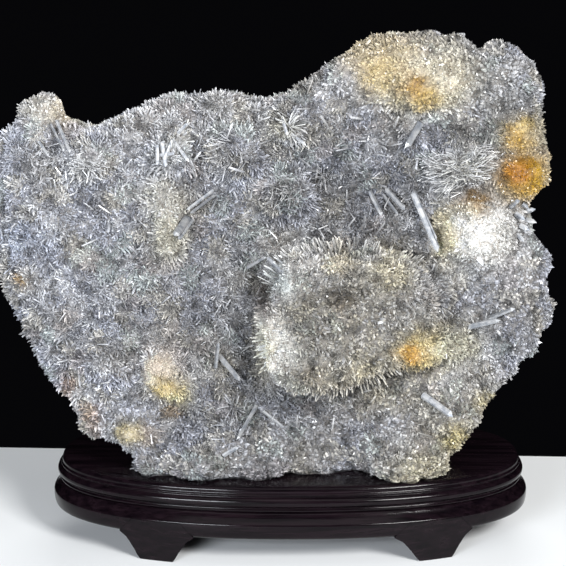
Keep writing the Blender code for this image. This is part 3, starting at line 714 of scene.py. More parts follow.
def smooth_loop(points, count):
    """Evenly spaced points on a closed curve through the given ones."""
    dense = curve_points(np.array([points[-1], *points, *points[:2]], float), 8)
    dense = np.array(dense + [dense[0]])
    run = np.concatenate([[0.0], np.cumsum(np.linalg.norm(np.diff(dense, axis=0), axis=1))])
    wanted = np.linspace(0.0, run[-1], count, endpoint=False)
    return np.column_stack([np.interp(wanted, run, dense[:, k]) for k in (0, 1)])


# ---------------- slab frame


def slab_matrix():
    """Turns slab coordinates (u, v, w) in metres into the stand's frame."""
    across = Vector((1.0, 0.0, 0.0))
    up = Vector((0.0, math.sin(LEAN), math.cos(LEAN)))
    out = Vector((0.0, -math.cos(LEAN), math.sin(LEAN)))
    turn = Matrix((across, up, out)).transposed().to_4x4()
    return Matrix.Translation(PLATE_FOOT) @ turn


SLAB = slab_matrix()
SLAB_TURN = np.array(SLAB.to_3x3())
SLAB_FOOT = np.array(PLATE_FOOT)
FRONT = (SLAB.to_3x3() @ Vector((0.0, 0.0, 1.0))).normalized()


def from_slab(points):
    """Array of (u, v, w) in millimetres to the stand's frame in metres."""
    return np.asarray(points, float) * MM @ SLAB_TURN.T + SLAB_FOOT


def to_slab(points):
    return (points - SLAB_FOOT) @ SLAB_TURN / MM


def facing(normals):
    """How far each normal is turned to the front: 1 is straight, -1 is backwards."""
    return normals @ np.array(FRONT)


def cast_to_bed(surface, u, v, shift=(0.0, 0.0, 0.0)):
    """The place and normal where a ray from the front meets the bed."""
    start = SLAB @ ((Vector((u, v, CAST_LEVEL)) + Vector(shift)) * MM)
    return surface.ray_cast(start, -FRONT)[:2]


# ---------------- bed of the plate


def front_swell(u, v):
    """Height of the front's swells and hollows at a point."""
    height = 0.0
    for _, u0, v0, wide, tall, amount in SWELLS:
        height += amount * patch_share(u, v, u0, v0, wide, tall)
    return height


def plate_rim():
    """The plate's outline, moved in or out where the rim's table says."""
    rim = smooth_loop(PLATE_OUTLINE, PLATE_CORNERS)
    reach = np.zeros(len(rim))
    for _, u, v, spread, amount in RIM_REACH:
        reach += amount * patch_share(rim[:, 0], rim[:, 1], u, v, spread, spread)
    return rim + unit(rim - PLATE_MIDDLE) * reach[:, None]


def plate_ring(rim, share, face):
    """A ring of the front (face 1) or the back (face -1), this share of the way to the rim."""
    points = []
    for corner in rim:
        u, v = PLATE_MIDDLE + (corner - PLATE_MIDDLE) * share
        inward = (1.0 - share) * np.linalg.norm(corner - PLATE_MIDDLE)
        bend = min(1.0, inward / RIM_ROUNDING)
        rounding = math.sqrt(1.0 - (1.0 - bend) ** 2)
        rough = noise.fractal(Vector((u, v, 40.0 * face)) * FACE_DETAIL, 1.0, 2.0, 4)
        if face > 0:
            level = FRONT_LEVEL + front_swell(u, v) + FRONT_UNEVEN * rough
        else:
            level = BACK_LEVEL + BACK_UNEVEN * rough
        points.append(Vector((u, v, RIM_LEVEL + face * (level - face * RIM_LEVEL) * rounding)))
    return points


def plate_body():
    """The plate without its tufts: two bulged faces that meet in a rounded rim."""
    rim = plate_rim()
    shares = [math.sin(0.5 * math.pi * (k + 1) / PLATE_RINGS) for k in range(PLATE_RINGS)]
    shares = [PLATE_PIN] + shares
    back = [plate_ring(rim, share, -1) for share in shares]
    front = [plate_ring(rim, share, 1) for share in reversed(shares[:-1])]
    return stacked_rings([[point * MM for point in row] for row in back + front])


def great_lump():
    """The overhanging lump in front of the plate's middle."""
    edge = smooth_loop(LUMP_OUTLINE, LUMP_CORNERS)
    middle = np.array(LUMP_MIDDLE)
    rings = []
    for size, depth in LUMP_SIDES:
        row = []
        for corner in edge:
            u, v = middle + (corner - middle) * size
            rough = noise.noise(Vector((u, v, depth)) * LUMP_DETAIL)
            row.append(Vector((u, v, depth + LUMP_UNEVEN * rough)) * MM)
        rings.append(row)
    return stacked_rings(rings)


def tuft_body(u, v, w, radii):
    """A tuft's rounded body, a little uneven."""
    bm = bmesh.new()
    bmesh.ops.create_icosphere(bm, subdivisions=4, radius=1.0)
    for vertex in bm.verts:
        out = vertex.co.normalized()
        rough = 1.0 + TUFT_UNEVEN * noise.noise(out * TUFT_DETAIL + Vector((u, v, w)))
        vertex.co = Vector([c + r * o * rough for c, r, o in zip((u, v, w), radii, out)]) * MM
    return bm


def front_lift(place, turned, short):
    """Domes on the front, less what the front and rim are sunk for the crystals, in millimetres."""
    nearest = noise.voronoi(place / (KNOLL_SIZE * MM))[0][0]
    dome = max(0.0, 1.0 - nearest * nearest * 2.0)
    sunk = BED_SUNK + (VELVET_SUNK - BED_SUNK) * short
    return clamped(turned + 0.3) * KNOLL_HEIGHT * (dome - 0.6) - sunk * clamped(turned * 2.0 + 1.2)


def back_lift(place, turned):
    """Broken facets of the back, each at its own step, in millimetres."""
    far, centres = noise.voronoi(place / (BACK_FACET * MM))
    ridge = BACK_RELIEF * (far[1] - far[0] - 0.5)
    step = BACK_STEP * noise.noise(centres[0] * 5.3)
    rough = BACK_ROUGHNESS * noise.fractal(place / (BACK_GRAIN * MM), 1.0, 2.0, 4)
    return clamped(-turned * 1.6 - 0.1) * (ridge + step + rough - BACK_SUNK)


def shape_bed(mesh):
    """Domes on the front and facets on the back, along the normals of the smooth body."""
    normals = [vertex.normal.copy() for vertex in mesh.vertices]
    velvet = spread_share(VELVET_PLACES, to_slab(np.array([vertex.co for vertex in mesh.vertices])))
    for vertex, normal, short in zip(mesh.vertices, normals, velvet):
        turned = normal.dot(FRONT)
        lift = front_lift(vertex.co, turned, short) + back_lift(vertex.co, turned)
        vertex.co += normal * lift * MM


def raise_rosettes(mesh, rosettes):
    """Lifts the middle of every rosette above the valleys round it."""
    lifts = []
    for vertex in mesh.vertices:
        _, middle = nearest_rosette(vertex.co, rosettes)
        relief = ROSETTE_RELIEF * (min(1.0, middle * 1.8) - 0.6) * MM
        lifts.append(vertex.normal * (clamped(vertex.normal.dot(FRONT) * 2.0 + 1.0) * relief))
    for vertex, lift in zip(mesh.vertices, lifts):
        vertex.co += lift
    mesh.update()


def plate_bed():
    """Plate, great lump and tufts grown into one body, flat where it stands."""
    bodies = [plate_body(), great_lump()]
    bodies += [tuft_body(u, v, w, radii) for _, u, v, w, *radii in TUFTS]
    whole = bmesh.new()
    for index, body in enumerate(bodies):
        part = mesh_from(f"grown_{index}", body)
        whole.from_mesh(part)
        bpy.data.meshes.remove(part)
    mesh = bpy.data.meshes.new("grown")
    whole.to_mesh(mesh)
    whole.free()
    mesh.transform(SLAB)
    obj = add_object("grown", mesh)
    remesh = obj.modifiers.new("Fuse", "REMESH")
    remesh.mode = "VOXEL"
    remesh.voxel_size = BED_VOXEL
    obj.modifiers.new("Soften", "SMOOTH").iterations = 4
    bed = baked(obj, "bed")
    shape_bed(bed)
    for vertex in bed.vertices:
        vertex.co.z = max(vertex.co.z, PLATFORM_TOP - SOCKET_DEPTH + GAP)
    bed.update()
    return bed


# ---------------- places where crystals grow


def read(items, name, kind=float):
    """An attribute of three numbers for each of a mesh's items, as an array."""
    values = np.empty(len(items) * 3, kind)
    items.foreach_get(name, values)
    return values.reshape(-1, 3)


def arrays_of(mesh):
    """Corner places, triangles and corner normals of a mesh."""
    mesh.calc_loop_triangles()
    corners = read(mesh.loop_triangles, "vertices", np.int32)
    return read(mesh.vertices, "co"), corners, read(mesh.vertices, "normal")


def scattered(shape, spacing, chance):
    """One random place in every cell of a 3-D grid that the surface passes through."""
    points, corners, normals = shape
    a, b, c = (points[corners[:, k]] for k in range(3))
    area = np.linalg.norm(np.cross(b - a, c - a), axis=1) / 2
    count = int(area.sum() / (spacing * MM) ** 2 * TRIES)
    picked = chance.choice(len(area), count, p=area / area.sum())
    first = np.sqrt(chance.random(count))
    second = chance.random(count)
    shares = np.column_stack([1 - first, first * (1 - second), first * second])
    corner = corners[picked]
    place = (points[corner] * shares[:, :, None]).sum(axis=1)
    normal = unit((normals[corner] * shares[:, :, None]).sum(axis=1))
    cell = np.floor(place / (spacing * MM)).astype(np.int64)
    _, keep = np.unique(cell, axis=0, return_index=True)
    keep = chance.permutation(keep)
    return place[keep], normal[keep]


def picked_colours(kinds, count, chance):
    """A random linear colour for each of this many, from rows of sRGB colour and how common."""
    colours = np.array([linear(*colour) for colour, _ in kinds])
    weights = np.array([share for _, share in kinds])
    return colours[chance.choice(len(colours), count, p=weights / weights.sum())]


def rosette_centres(shape, chance):
    """The rosettes that the crystals belong to: their places as a tree, and how each one grows."""
    place, normal = scattered(shape, ROSETTE_SPACING, chance)
    count = len(place)
    aside = chance.normal(0.0, 1.6, (count, 3))
    tree = KDTree(count)
    for index, point in enumerate(place):
        tree.insert(point, index)
    tree.balance()
    return {
        "tree": tree,
        "root": place - normal * chance.uniform(*ROSETTE_ROOT, (count, 1)) * MM + aside * MM,
        "tint": picked_colours(ROSETTE_TINTS, count, chance),
        "bright": np.exp(chance.normal(0.0, 0.09, count)),
        "length": chance.uniform(0.75, 1.25, count),
    }


def nearest_rosette(point, rosettes):
    """The number of a point's rosette, and how near its middle it lies, 0 at the edge to 1."""
    (_, own, distance), (_, _, next_distance) = rosettes["tree"].find_n(point, 2)
    return own, (next_distance - distance) / (next_distance + distance)


def splay_axes(place, normal, roots):
    """The way each crystal points: away from the root of its rosette, and of its tuft or lump."""
    away = unit(place - roots)
    slab = to_slab(place)
    for _, u, v, w, *radii in TUFTS:
        centre = np.array((u, v, w - TUFT_HEART_DEPTH))
        inside = np.linalg.norm((slab - centre) / np.array(radii), axis=1) < TUFT_REACH
        away[inside] = unit(unit(place[inside] - from_slab(centre)) * 0.4 + away[inside] * 0.6)
    beside = np.abs(slab[:, :2] - LUMP_MIDDLE) < LUMP_REACH
    lump = (slab[:, 2] > LUMP_START) & beside.all(axis=1)
    away[lump] = unit(unit(place[lump] - from_slab(LUMP_HEART)) * 0.3 + away[lump] * 0.7)
    return unit(away * 0.8 + normal * 0.35)


# ---------------- crops of crystals

# A crop is a dictionary of arrays with a row for every crystal: its place on the bed and its axis,
# its size in metres, how flat, how pale and how near a rosette's middle it is, and its tint.


def crop_of(place, axis, radius, length, flat, pale, middle, tint=WHITE):
    """A crop from sizes in millimetres; what all its crystals share may be one value."""
    count = len(place)
    return {
        "place": place,
        "axis": axis,
        "radius": radius * MM,
        "length": length * MM,
        "flat": flat,
        "pale": np.full(count, pale),
        "middle": np.zeros(count) + middle,
        "tint": np.ones((count, 3)) * tint,
    }


def taken(crop, chosen):
    return {name: values[chosen] for name, values in crop.items()}


def joined(crops):
    return {name: np.concatenate([crop[name] for crop in crops]) for name in crops[0]}


def milkiness(place):
    """Where the crystals are short, fine and milky, 0 to 1, in small patches."""
    return np.clip(0.45 + 1.1 * smooth_noise(place, 8.0, channel=7.0), 0.0, 1.0)


def pockets(place):
    """Where small pockets lie between the crystals, 0 to 1; the crystals there are shorter and darkened
    by painted shade.
    """
    return np.clip(3.4 * smooth_noise(place, 5.0, channel=21.0) - 0.5, 0.0, 1.0)


def kept_places(layer, place, normal, chance):
    """Which places a layer's crystals take: its own sort of ground, and fewer round the back."""
    turned = facing(normal)
    share = spread_share(COARSE_PLACES, to_slab(place))
    wanted = {True: share, False: 1.0 - share, None: 1.0 - 0.45 * share}[layer.coarse]
    keep = (chance.random(len(place)) < wanted) & (turned > LAST_TURNED)
    thinned = (turned < REAR_TURNED) & (chance.random(len(place)) < REAR_THINNING)
    return keep & ~thinned


def crystal_axes(place, normal, roots, stray, chance):
    """The way a layer's crystals point, with this much disorder, and never into the bed."""
    axis = splay_axes(place, normal, roots)
    axis = unit(axis + chance.normal(0.0, 1.0, axis.shape) * stray[:, None])
    outward = (axis * normal).sum(axis=1)
    return unit(axis + normal * np.maximum(0.0, LEAST_OUTWARD - outward)[:, None])


def length_share(layer, place, normal):
    """How long crystals grow at each place: shorter where they are dense, milky or turned away."""
    slab = to_slab(place)
    velvet = spread_share(VELVET_PLACES, slab)
    coarse = COARSE_SHORTER if layer.coarse else OTHERS_SHORTER
    share = 1.0 - coarse * spread_share(COARSE_PLACES, slab)
    share = share * (1.0 - VELVET_SHORTER * velvet) * (1.12 - MILKY_SHORTER * milkiness(place))
    rear = np.clip(REAR_LENGTH + facing(normal), REAR_LENGTH, 1.0)
    return share * rear * (1.0 - POCKET_SHORTER * pockets(place) * (1.0 - velvet))


def grown_layer(shape, rosettes, layer, chance):
    """One layer of crystals over the whole front and rim."""
    place, normal = scattered(shape, layer.spacing, chance)
    keep = kept_places(layer, place, normal, chance)
    place, normal = place[keep], normal[keep]
    slab = to_slab(place)
    count = len(place)
    shaken = place + chance.normal(0.0, ROSETTE_SHAKE * MM, place.shape)
    found = [nearest_rosette(point, rosettes) for point in shaken]
    own, middle = (np.array(column) for column in zip(*found))
    tangled = np.maximum(spread_share(FELTED_PLACES, slab), spread_share(COARSE_PLACES, slab))
    stray = DISORDER + FELTED_DISORDER * tangled
    axis = crystal_axes(place, normal, rosettes["root"][own], stray, chance)
    size = chance.random(count)
    short = length_share(layer, place, normal) * rosettes["length"][own]
    velvet = spread_share(VELVET_PLACES, slab)
    thin, thick = layer.radii
    return crop_of(
        place,
        axis,
        radius=(thin + (thick - thin) * size ** 1.5) * (1 - 0.2 * velvet),
        length=chance.uniform(*layer.lengths, count) * (0.8 + 0.3 * size) * short,
        flat=chance.uniform(*CRYSTAL_FLATNESS, count),
        pale=0.0,
        middle=0.4 * middle + 0.6 * milkiness(place),
        tint=rosettes["tint"][own] * rosettes["bright"][own, None],
    )


def level_way(angle):
    """A direction in the plate's plane, at an angle up from the right."""
    return Vector((math.cos(angle), math.sin(angle), 0.0))


def spray(surface, row, chance):
    """Long needles that lean away from one spray's centre, low over the face."""
    _, u, v, count, length, lean, heading, spread, reach, radius = row
    angle = np.radians(heading + chance.uniform(-spread, spread, count))
    share = chance.random(count)
    tilt = np.radians(lean) * np.sqrt(share)
    aside = angle + np.radians(180 - spread) * chance.uniform(-1.0, 1.0, count)
    place, axis = [], []
    for turned, out, out_way, leaned in zip(angle, reach * share, aside, tilt):
        spot, normal = cast_to_bed(surface, u, v, level_way(out_way) * out)
        along = SLAB.to_3x3() @ level_way(turned)
        along = (along - normal * along.dot(normal)).normalized()
        place.append(spot + normal * chance.uniform(1.2, 3.2) * MM)
        axis.append(normal * math.cos(leaned) + along * math.sin(leaned))
    return crop_of(
        np.array(place),
        unit(np.array(axis) + chance.normal(0.0, 0.2, (count, 3))),
        radius=chance.uniform(*radius, count),
        length=chance.uniform(*length, count),
        flat=chance.uniform(*CRYSTAL_FLATNESS, count),
        pale=0.1,
        middle=1.0,
    )


def fringe(row, chance):
    """Needles that stand out all along a stretch of the great lump's edge."""
    _, corners, count, length = row
    corners = np.array(corners, float)
    spot = np.sort(chance.uniform(0.0, len(corners) - 1.001, count))
    before = spot.astype(int)
    along = corners[before] + (corners[before + 1] - corners[before]) * (spot - before)[:, None]
    along += chance.normal(0.0, 1.2, along.shape)
    outward = along - np.array(LUMP_HEART)
    outward[:, 2] *= 0.4
    outward = unit(outward) @ SLAB_TURN.T
    return crop_of(
        from_slab(along) - outward * FRINGE_ROOT * MM,
        unit(outward + chance.normal(0.0, 0.16, outward.shape)),
        radius=chance.uniform(0.35, 0.65, count),
        length=chance.uniform(*length, count) + FRINGE_ROOT,
        flat=chance.uniform(*CRYSTAL_FLATNESS, count),
        pale=0.5,
        middle=0.4,
    )


def stray_sticks(shape, chance):
    """Thin crystals that lie loose over the others, where the face is open."""
    place, normal = scattered(shape, STRAY_SPACING, chance)
    slab = to_slab(place)
    low, high = np.array(STRAY_BOX).T
    keep = ((slab > low) & (slab < high)).all(axis=1) & (facing(normal) > STRAY_FACING)
    keep &= spread_share(VELVET_PLACES, slab) <= 0.2
    place, normal = place[keep][:STRAY_STICKS], normal[keep][:STRAY_STICKS]
    count = len(place)
    along = unit(np.cross(normal, chance.normal(0.0, 1.0, (count, 3))))
    return crop_of(
        place + normal * chance.uniform(2.5, 5.5, (count, 1)) * MM,
        unit(along + normal * chance.uniform(0.1, 0.5, (count, 1))),
        radius=chance.uniform(0.35, 0.65, count),
        length=chance.uniform(3.5, 8.0, count),
        flat=chance.uniform(0.6, 1.0, count),
        pale=0.3,
        middle=0.5,
    )


def clear_of_stand(crop):
    """Turns crystals near the platform up from it, and drops those that would still meet it."""
    near = crop["place"][:, 2] < PLATFORM_TOP + LOW_CRYSTALS
    crop["axis"][near, 2] = np.maximum(crop["axis"][near, 2], LEAST_RISE)
    crop["axis"] = unit(crop["axis"])
    reach = crop["place"][:, 2] + np.minimum(0.0, crop["axis"][:, 2]) * crop["length"]
    return taken(crop, reach > PLATFORM_TOP + CRYSTAL_CLEARANCE)


def clear_of_large(crop, large):
    """Drops the crystals that would hide a large one."""
    tips = crop["place"] + crop["axis"] * (crop["length"] * 0.8)[:, None]
    hidden = np.zeros(len(tips), bool)
    for root, tip, thickness in large:
        line = tip - root
        along = np.clip(((tips - root) @ line) / (line @ line), 0.15, 1.0)
        off = np.linalg.norm(tips - root - along[:, None] * line, axis=1)
        hidden |= off < thickness * 0.5 + CRYSTAL_CLEARANCE
    return taken(crop, ~hidden)


# ---------------- colours of the crystals, with painted light and shade


def kind_colours(crop, chance):
    """Each crystal's own kind of quartz, its rosette's tint and the plate's warm and cool fields."""
    colour = picked_colours(CRYSTAL_KINDS, len(crop["place"]), chance)
    colour = toward(colour, linear(*PALEST_KIND), crop["middle"] * 0.5) * crop["tint"]
    warm = np.clip(smooth_noise(crop["place"], 22.0) * 1.4, -1.0, 1.0)
    colour = toward(colour, linear(*WARM_FIELD), np.maximum(warm, 0.0) * 0.4)
    colour = toward(colour, linear(*COOL_FIELD), np.maximum(-warm, 0.0) * 0.15)
    return toward(colour, linear(*PALE_NEEDLE), crop["pale"])


def stained(colour, place, chance):
    """Lays the stains over the colours, with uneven edges and some crystals left cleaner."""
    u, v, _ = to_slab(place).T
    u = u + STAIN_WANDER * smooth_noise(place, 7.0, channel=2.0)
    v = v + STAIN_WANDER * smooth_noise(place, 7.0, channel=3.0)
    for _, u0, v0, wide, tall, tone, strength in STAINS:
        share = np.clip(patch_share(u, v, u0, v0, wide, tall) * 1.5, 0.0, 1.0) * strength
        share *= 1.0 - chance.random(len(place)) ** 2 * (1.15 - strength)
        colour = toward(colour, linear(*tone), share)
    return colour


def brightness(crop, chance):
    """How bright each crystal is, by its luck and its surroundings, with painted shade in the pockets
    between crystals, and by the table of shades, which holds painted light and shade as well as tones.
    """
    place = crop["place"]
    slab = to_slab(place)
    velvet = spread_share(VELVET_PLACES, slab)
    shade = 1.0 - LUCK_DARKER * chance.random(len(place)) ** 2 * (1.0 - 0.6 * velvet)
    fine = smooth_noise(place, 6.0, channel=5.0)
    broad = smooth_noise(place, 15.0, channel=23.0)
    shade *= 1.0 + 0.14 * fine + 0.2 * broad
    # painted shade in the pockets between the crystals
    shade *= 1.0 - POCKET_PAINTED_SHADE * pockets(place) * (1.0 - velvet)
    shade *= 0.86 + 0.28 * crop["middle"]
    # the table of shades: the crystals' own tones, and painted light and shade in places
    for _, u, v, wide, tall, bright in SHADES:
        shade *= 1.0 + (bright - 1.0) * patch_share(slab[:, 0], slab[:, 1], u, v, wide, tall)
    return shade


def crystal_colours(crop, chance):
    """Linear colour of each crystal: its kind, its place's stains and its brightness, which holds
    painted light and shade.
    """
    colour = stained(kind_colours(crop, chance), crop["place"], chance)
    return np.clip(colour * brightness(crop, chance)[:, None], 0.0, 0.95)


# ---------------- crystals as joined meshes


def crystal_corners(crop, layer, chance):
    """Corner places of the crystals: a root ring, a shoulder ring if there is one, a tip."""
    axis = crop["axis"]
    count = len(axis)
    side = unit(np.cross(axis, chance.normal(0.0, 1.0, (count, 3))))
    across = np.cross(axis, side) * crop["flat"][:, None]
    radius = crop["radius"][:, None]
    point = np.minimum(crop["radius"] * chance.uniform(1.4, 2.4, count), crop["length"] * 0.6)
    root = crop["place"] - axis * (ROOT_DEPTH * MM)
    shoulder = crop["place"] + axis * (crop["length"] - point)[:, None]
    lean = (side * chance.uniform(-0.4, 0.4, (count, 1))) * radius
    corners = []
    for start, width in ((root, 1.0), (shoulder, SHOULDER_WIDTH))[:1 + layer.shouldered]:
        for k in range(layer.sides):
            angle = 2 * math.pi * k / layer.sides
            around = (side * math.cos(angle) + across * math.sin(angle)) * radius
            corners.append(start + around * width)
    corners.append(crop["place"] + axis * crop["length"][:, None] + lean)
    return np.stack(corners, axis=1)


def face_pattern(layer):
    """The faces of one crystal, as corner numbers, and the same corners on its cell of the map."""
    sides = layer.sides
    around = [(i, (i + 1) % sides, i / sides, (i + 1) / sides) for i in range(sides)]
    faces, flat = [], []
    base, start = 0, 0.0
    if layer.shouldered:
        base, start = sides, MAP_SHOULDER
        for i, j, left, right in around:
            faces.append([i, j, sides + j, sides + i])
            flat.append([(left, 0.0), (right, 0.0), (right, start), (left, start)])
    for i, j, left, right in around:
        faces.append([base + i, base + j, base + sides])
        flat.append([(left, start), (right, start), ((left + right) / 2, 1.0)])
    return faces, flat


def repeated_mesh(name, corners, faces):
    """One mesh with the same faces between each row of corners."""
    pattern = np.array(sum(faces, []))
    starts = np.cumsum([0] + [len(face) for face in faces[:-1]])
    numbers = np.arange(len(corners))[:, None]
    mesh = bpy.data.meshes.new(name)
    mesh.vertices.add(corners.size // 3)
    mesh.vertices.foreach_set("co", corners.ravel())
    mesh.loops.add(len(corners) * len(pattern))
    mesh.loops.foreach_set("vertex_index", (pattern + numbers * corners.shape[1]).ravel())
    mesh.polygons.add(len(corners) * len(faces))
    mesh.polygons.foreach_set("loop_start", (starts + numbers * len(pattern)).ravel())
    mesh.update(calc_edges=True)
    mesh.shade_flat()
    return mesh


def map_crystals(mesh, count, flat):
    """Gives every crystal its own square cell of the map."""
    across = math.ceil(math.sqrt(count))
    cell = np.column_stack([np.arange(count) % across, np.arange(count) // across])
    inset = CELL_MARGIN + (1.0 - 2 * CELL_MARGIN) * np.array(sum(flat, []))
    cells = mesh.uv_layers.new(name="OFBake")
    cells.data.foreach_set("uv", ((cell[:, None, :] + inset) / across).ravel())


def crystal_mesh(name, crop, layer, finish, chance):
    """One joined mesh of crystals, each with its own colour, darkened at their roots by painted shade.
    """
    faces, flat = face_pattern(layer)
    corners = crystal_corners(crop, layer, chance)
    mesh = repeated_mesh(name, corners, faces)
    shoulders = layer.sides * layer.shouldered
    # the roots are darkened by painted shade, less so in a rosette's middle
    tones = [ROOT_PAINTED_SHADE] * layer.sides + [SHOULDER_TONE] * shoulders + [TIP_TONE]
    steps = np.tile(tones, (len(corners), 1))
    steps[:, :layer.sides] += ((MIDDLE_ROOT_PAINTED_SHADE - ROOT_PAINTED_SHADE) * crop["middle"])[:, None]
    paint(mesh, (crop["colour"][:, None, :] * steps[:, :, None]).reshape(-1, 3))
    map_crystals(mesh, len(corners), flat)
    return add_object(name, mesh, finish)


def crystal_pieces(name, crop, large, finish, chance):
    """A layer's crystals as pieces of under 200,000 triangles, parted from left to right."""
    layer = LAYERS[name]
    crop = clear_of_large(clear_of_stand(crop), large)
    crop["colour"] = crystal_colours(crop, chance)
    order = np.argsort(crop["place"][:, 0])
    triangles = len(order) * layer.sides * (3 if layer.shouldered else 1)
    parts = np.array_split(order, math.ceil(triangles / MOST_TRIANGLES))
    return [
        crystal_mesh(f"quartz_{name}_{index}", taken(crop, part), layer, finish, chance)
        for index, part in enumerate(parts, start=1)
    ]


def build_crystals(bed, rosettes, surface, large, finish, chance):
    """Every layer of crystals; the sprays, fringes and sticks join the needles."""
    shape = arrays_of(bed)
    grown = {name: grown_layer(shape, rosettes, layer, chance) for name, layer in LAYERS.items()}
    long_ones = [spray(surface, row, chance) for row in SPRAYS]
    long_ones += [fringe(row, chance) for row in FRINGES]
    grown["needles"] = joined([grown["needles"], *long_ones, stray_sticks(shape, chance)])
    pieces = []
    for name, crop in grown.items():
        pieces += crystal_pieces(name, crop, large, finish, chance)
    return pieces


# ---------------- large crystals


def large_ends(surface):
    """Root, tip and thickness of each large crystal, in the stand's frame."""
    ends = []
    for _, u0, v0, u1, v1, rise, thickness, _, _ in LARGE_CRYSTALS:
        hits = []
        for u, v in ((u0, v0), (u1, v1)):
            hit, _ = cast_to_bed(surface, u, v)
            hits.append(hit or SLAB @ (Vector((u, v, OFF_BED_LEVEL)) * MM))
        root = hits[0] + FRONT * LARGE_ROOT_RISE * MM
        tip = hits[1] + FRONT * (BED_SUNK + rise) * MM
        ends.append((np.array(root), np.array(tip), thickness * MM))
    return ends


def large_crystal(bm, root, tip, thickness, flat, turn):
    """A six-sided crystal with a pointed end: its cap first, then a side and a point face in turn."""
    axis = tip - root
    length = axis.length
    axis.normalize()
    side = axis.cross(FRONT).normalized()
    up = side.cross(axis).normalized()
    radius = thickness / 2
    rings = []
    for start, width in ((root, 1.0), (root + axis * (length - thickness * 0.8), 0.9)):
        angles = [turn + k * math.pi / 3 for k in range(6)]
        ways = [side * math.cos(angle) + up * math.sin(angle) * flat for angle in angles]
        rings.append([bm.verts.new(start + way * radius * width) for way in ways])
    point = bm.verts.new(tip + side * radius * 0.25)
    low, high = rings
    bm.faces.new(low[::-1])
    for i in range(6):
        j = (i + 1) % 6
        bm.faces.new((low[i], low[j], high[j], high[i]))
        bm.faces.new((high[i], high[j], point))


def build_large(ends, finish):
    """The large crystals as one piece, with a random tone for every face that paints light and shade on
    its facets.
    """
    chance = np.random.default_rng(SEED + 2)
    bm = bmesh.new()
    shades = []
    for index, (root, tip, thickness) in enumerate(ends):
        flat, tone = LARGE_CRYSTALS[index][-2:]
        large_crystal(bm, Vector(root), Vector(tip), thickness, flat, LARGE_TURN * index)
        shades += [tone] * 6
        # each face's random tone is painted light and shade on the facets
        for _ in range(6):
            shades += [tone * chance.uniform(*SIDE_FACET_LIGHT_AND_SHADE)] * 4
            shades += [tone * chance.uniform(*POINT_FACET_LIGHT_AND_SHADE)] * 3
    mesh = mesh_from("quartz_large_crystals", bm)
    mesh.shade_flat()
    paint(mesh, np.array(shades)[:, None] * np.array(LARGE_COLOUR), domain="CORNER")
    return add_object("quartz_large_crystals", mesh, finish)


# ---------------- stand


def oval_point(angle, outside=0.0):
    """A point on the lower board's oval, moved outwards by a distance."""
    half_width = STAND_WIDTH / 2 + outside
    half_depth = STAND_DEPTH / 2 + outside
    cosine, sine = math.cos(angle), math.sin(angle)
    power = 2.0 / OVAL_POWER
    x = half_width * math.copysign(abs(cosine) ** power, cosine)
    y = half_depth * math.copysign(abs(sine) ** power, sine)
    return x, y


def oval_front(x, outside=0.0):
    """How far in front of the middle the oval, moved outwards, lies at x."""
    half_width = STAND_WIDTH / 2 + outside
    half_depth = STAND_DEPTH / 2 + outside
    share = abs(x / half_width) ** OVAL_POWER
    return half_depth * (1.0 - share) ** (1.0 / OVAL_POWER)


def oval_board(name, profile, cutters, finish):
    """A board with a moulded edge, cut by other objects, which are removed."""
    turn = 2 * math.pi / BOARD_SEGMENTS
    rings = []
    for outside, height in smooth_curve(profile, 2):
        rim = [oval_point(turn * (i + 0.5), outside * MM) for i in range(BOARD_SEGMENTS)]
        rings.append([(x, y, height * MM) for x, y in rim])
    board = add_object(name, mesh_from(name, stacked_rings(rings)), finish)
    for cutter in cutters:
        modifier = board.modifiers.new("Cut", "BOOLEAN")
        modifier.operation = "DIFFERENCE"
        modifier.object = cutter
        modifier.solver = "EXACT"
    board = add_object(name, baked(board, name), finish)
    for cutter in cutters:
        bpy.data.objects.remove(cutter, do_unlink=True)
    return board


def foot_reach(height):
    """How far outside the board's oval a foot's face stands at a height."""
    outside, levels = zip(*BASE_PROFILE)
    flush = np.interp(max(height, FOOT_FLUSH), levels, outside) * MM + FOOT_PROUD
    return flush - FOOT_SET_BACK * max(0.0, 1.0 - height / FOOT_FLUSH)


def foot_rings(side, grow):
    """Level outlines of a front foot, made larger by a distance all round but at the bottom."""
    x_middle = FOOT_X[side]
    foot, top = FOOT_PROFILE[0][0], FOOT_PROFILE[-1][1]
    rings = []
    for half_width, height in FOOT_PROFILE:
        level = height * MM + (grow if height == top else 0.0)
        left, right = ((foot + (half_width - foot) * flare) * MM + grow for flare in FOOT_SIDES[side])
        reach = foot_reach(height) + grow
        steps = [x_middle - left + (left + right) * i / FOOT_COLUMNS for i in range(FOOT_COLUMNS + 1)]
        face = [(x, -oval_front(x, reach), level) for x in steps]
        back = -oval_front(x_middle) + FOOT_THICKNESS + grow
        rings.append(face + [(steps[-1], back, level), (steps[0], back, level)])
    return rings


def foot_meshes(name, side, grow=0.0):
    """The front and back foot of a side; the back one is the front one's mirror image."""
    front, back = (mesh_from(name, stacked_rings(foot_rings(side, grow))) for _ in range(2))
    back.transform(Matrix.Diagonal((1.0, -1.0, 1.0, 1.0)))
    back.flip_normals()
    return {"front": front, "back": back}


def socket_cutter(bed):
    """The plate's foot, a little larger all round and flat on the socket's floor."""
    bm = bmesh.new()
    bm.from_mesh(bed)
    bmesh.ops.bisect_plane(
        bm, geom=[*bm.verts, *bm.edges, *bm.faces], plane_co=(0, 0, PLATFORM_TOP + CUTTER_RISE),
        plane_no=(0, 0, 1), clear_outer=True)
    bmesh.ops.holes_fill(bm, edges=[edge for edge in bm.edges if edge.is_boundary])
    bm.normal_update()
    for vertex in bm.verts:
        vertex.co += vertex.normal * SOCKET_CLEARANCE
        vertex.co.z = max(vertex.co.z, PLATFORM_TOP - SOCKET_DEPTH)
    return add_object("socket_cutter", mesh_from("socket_cutter", bm))


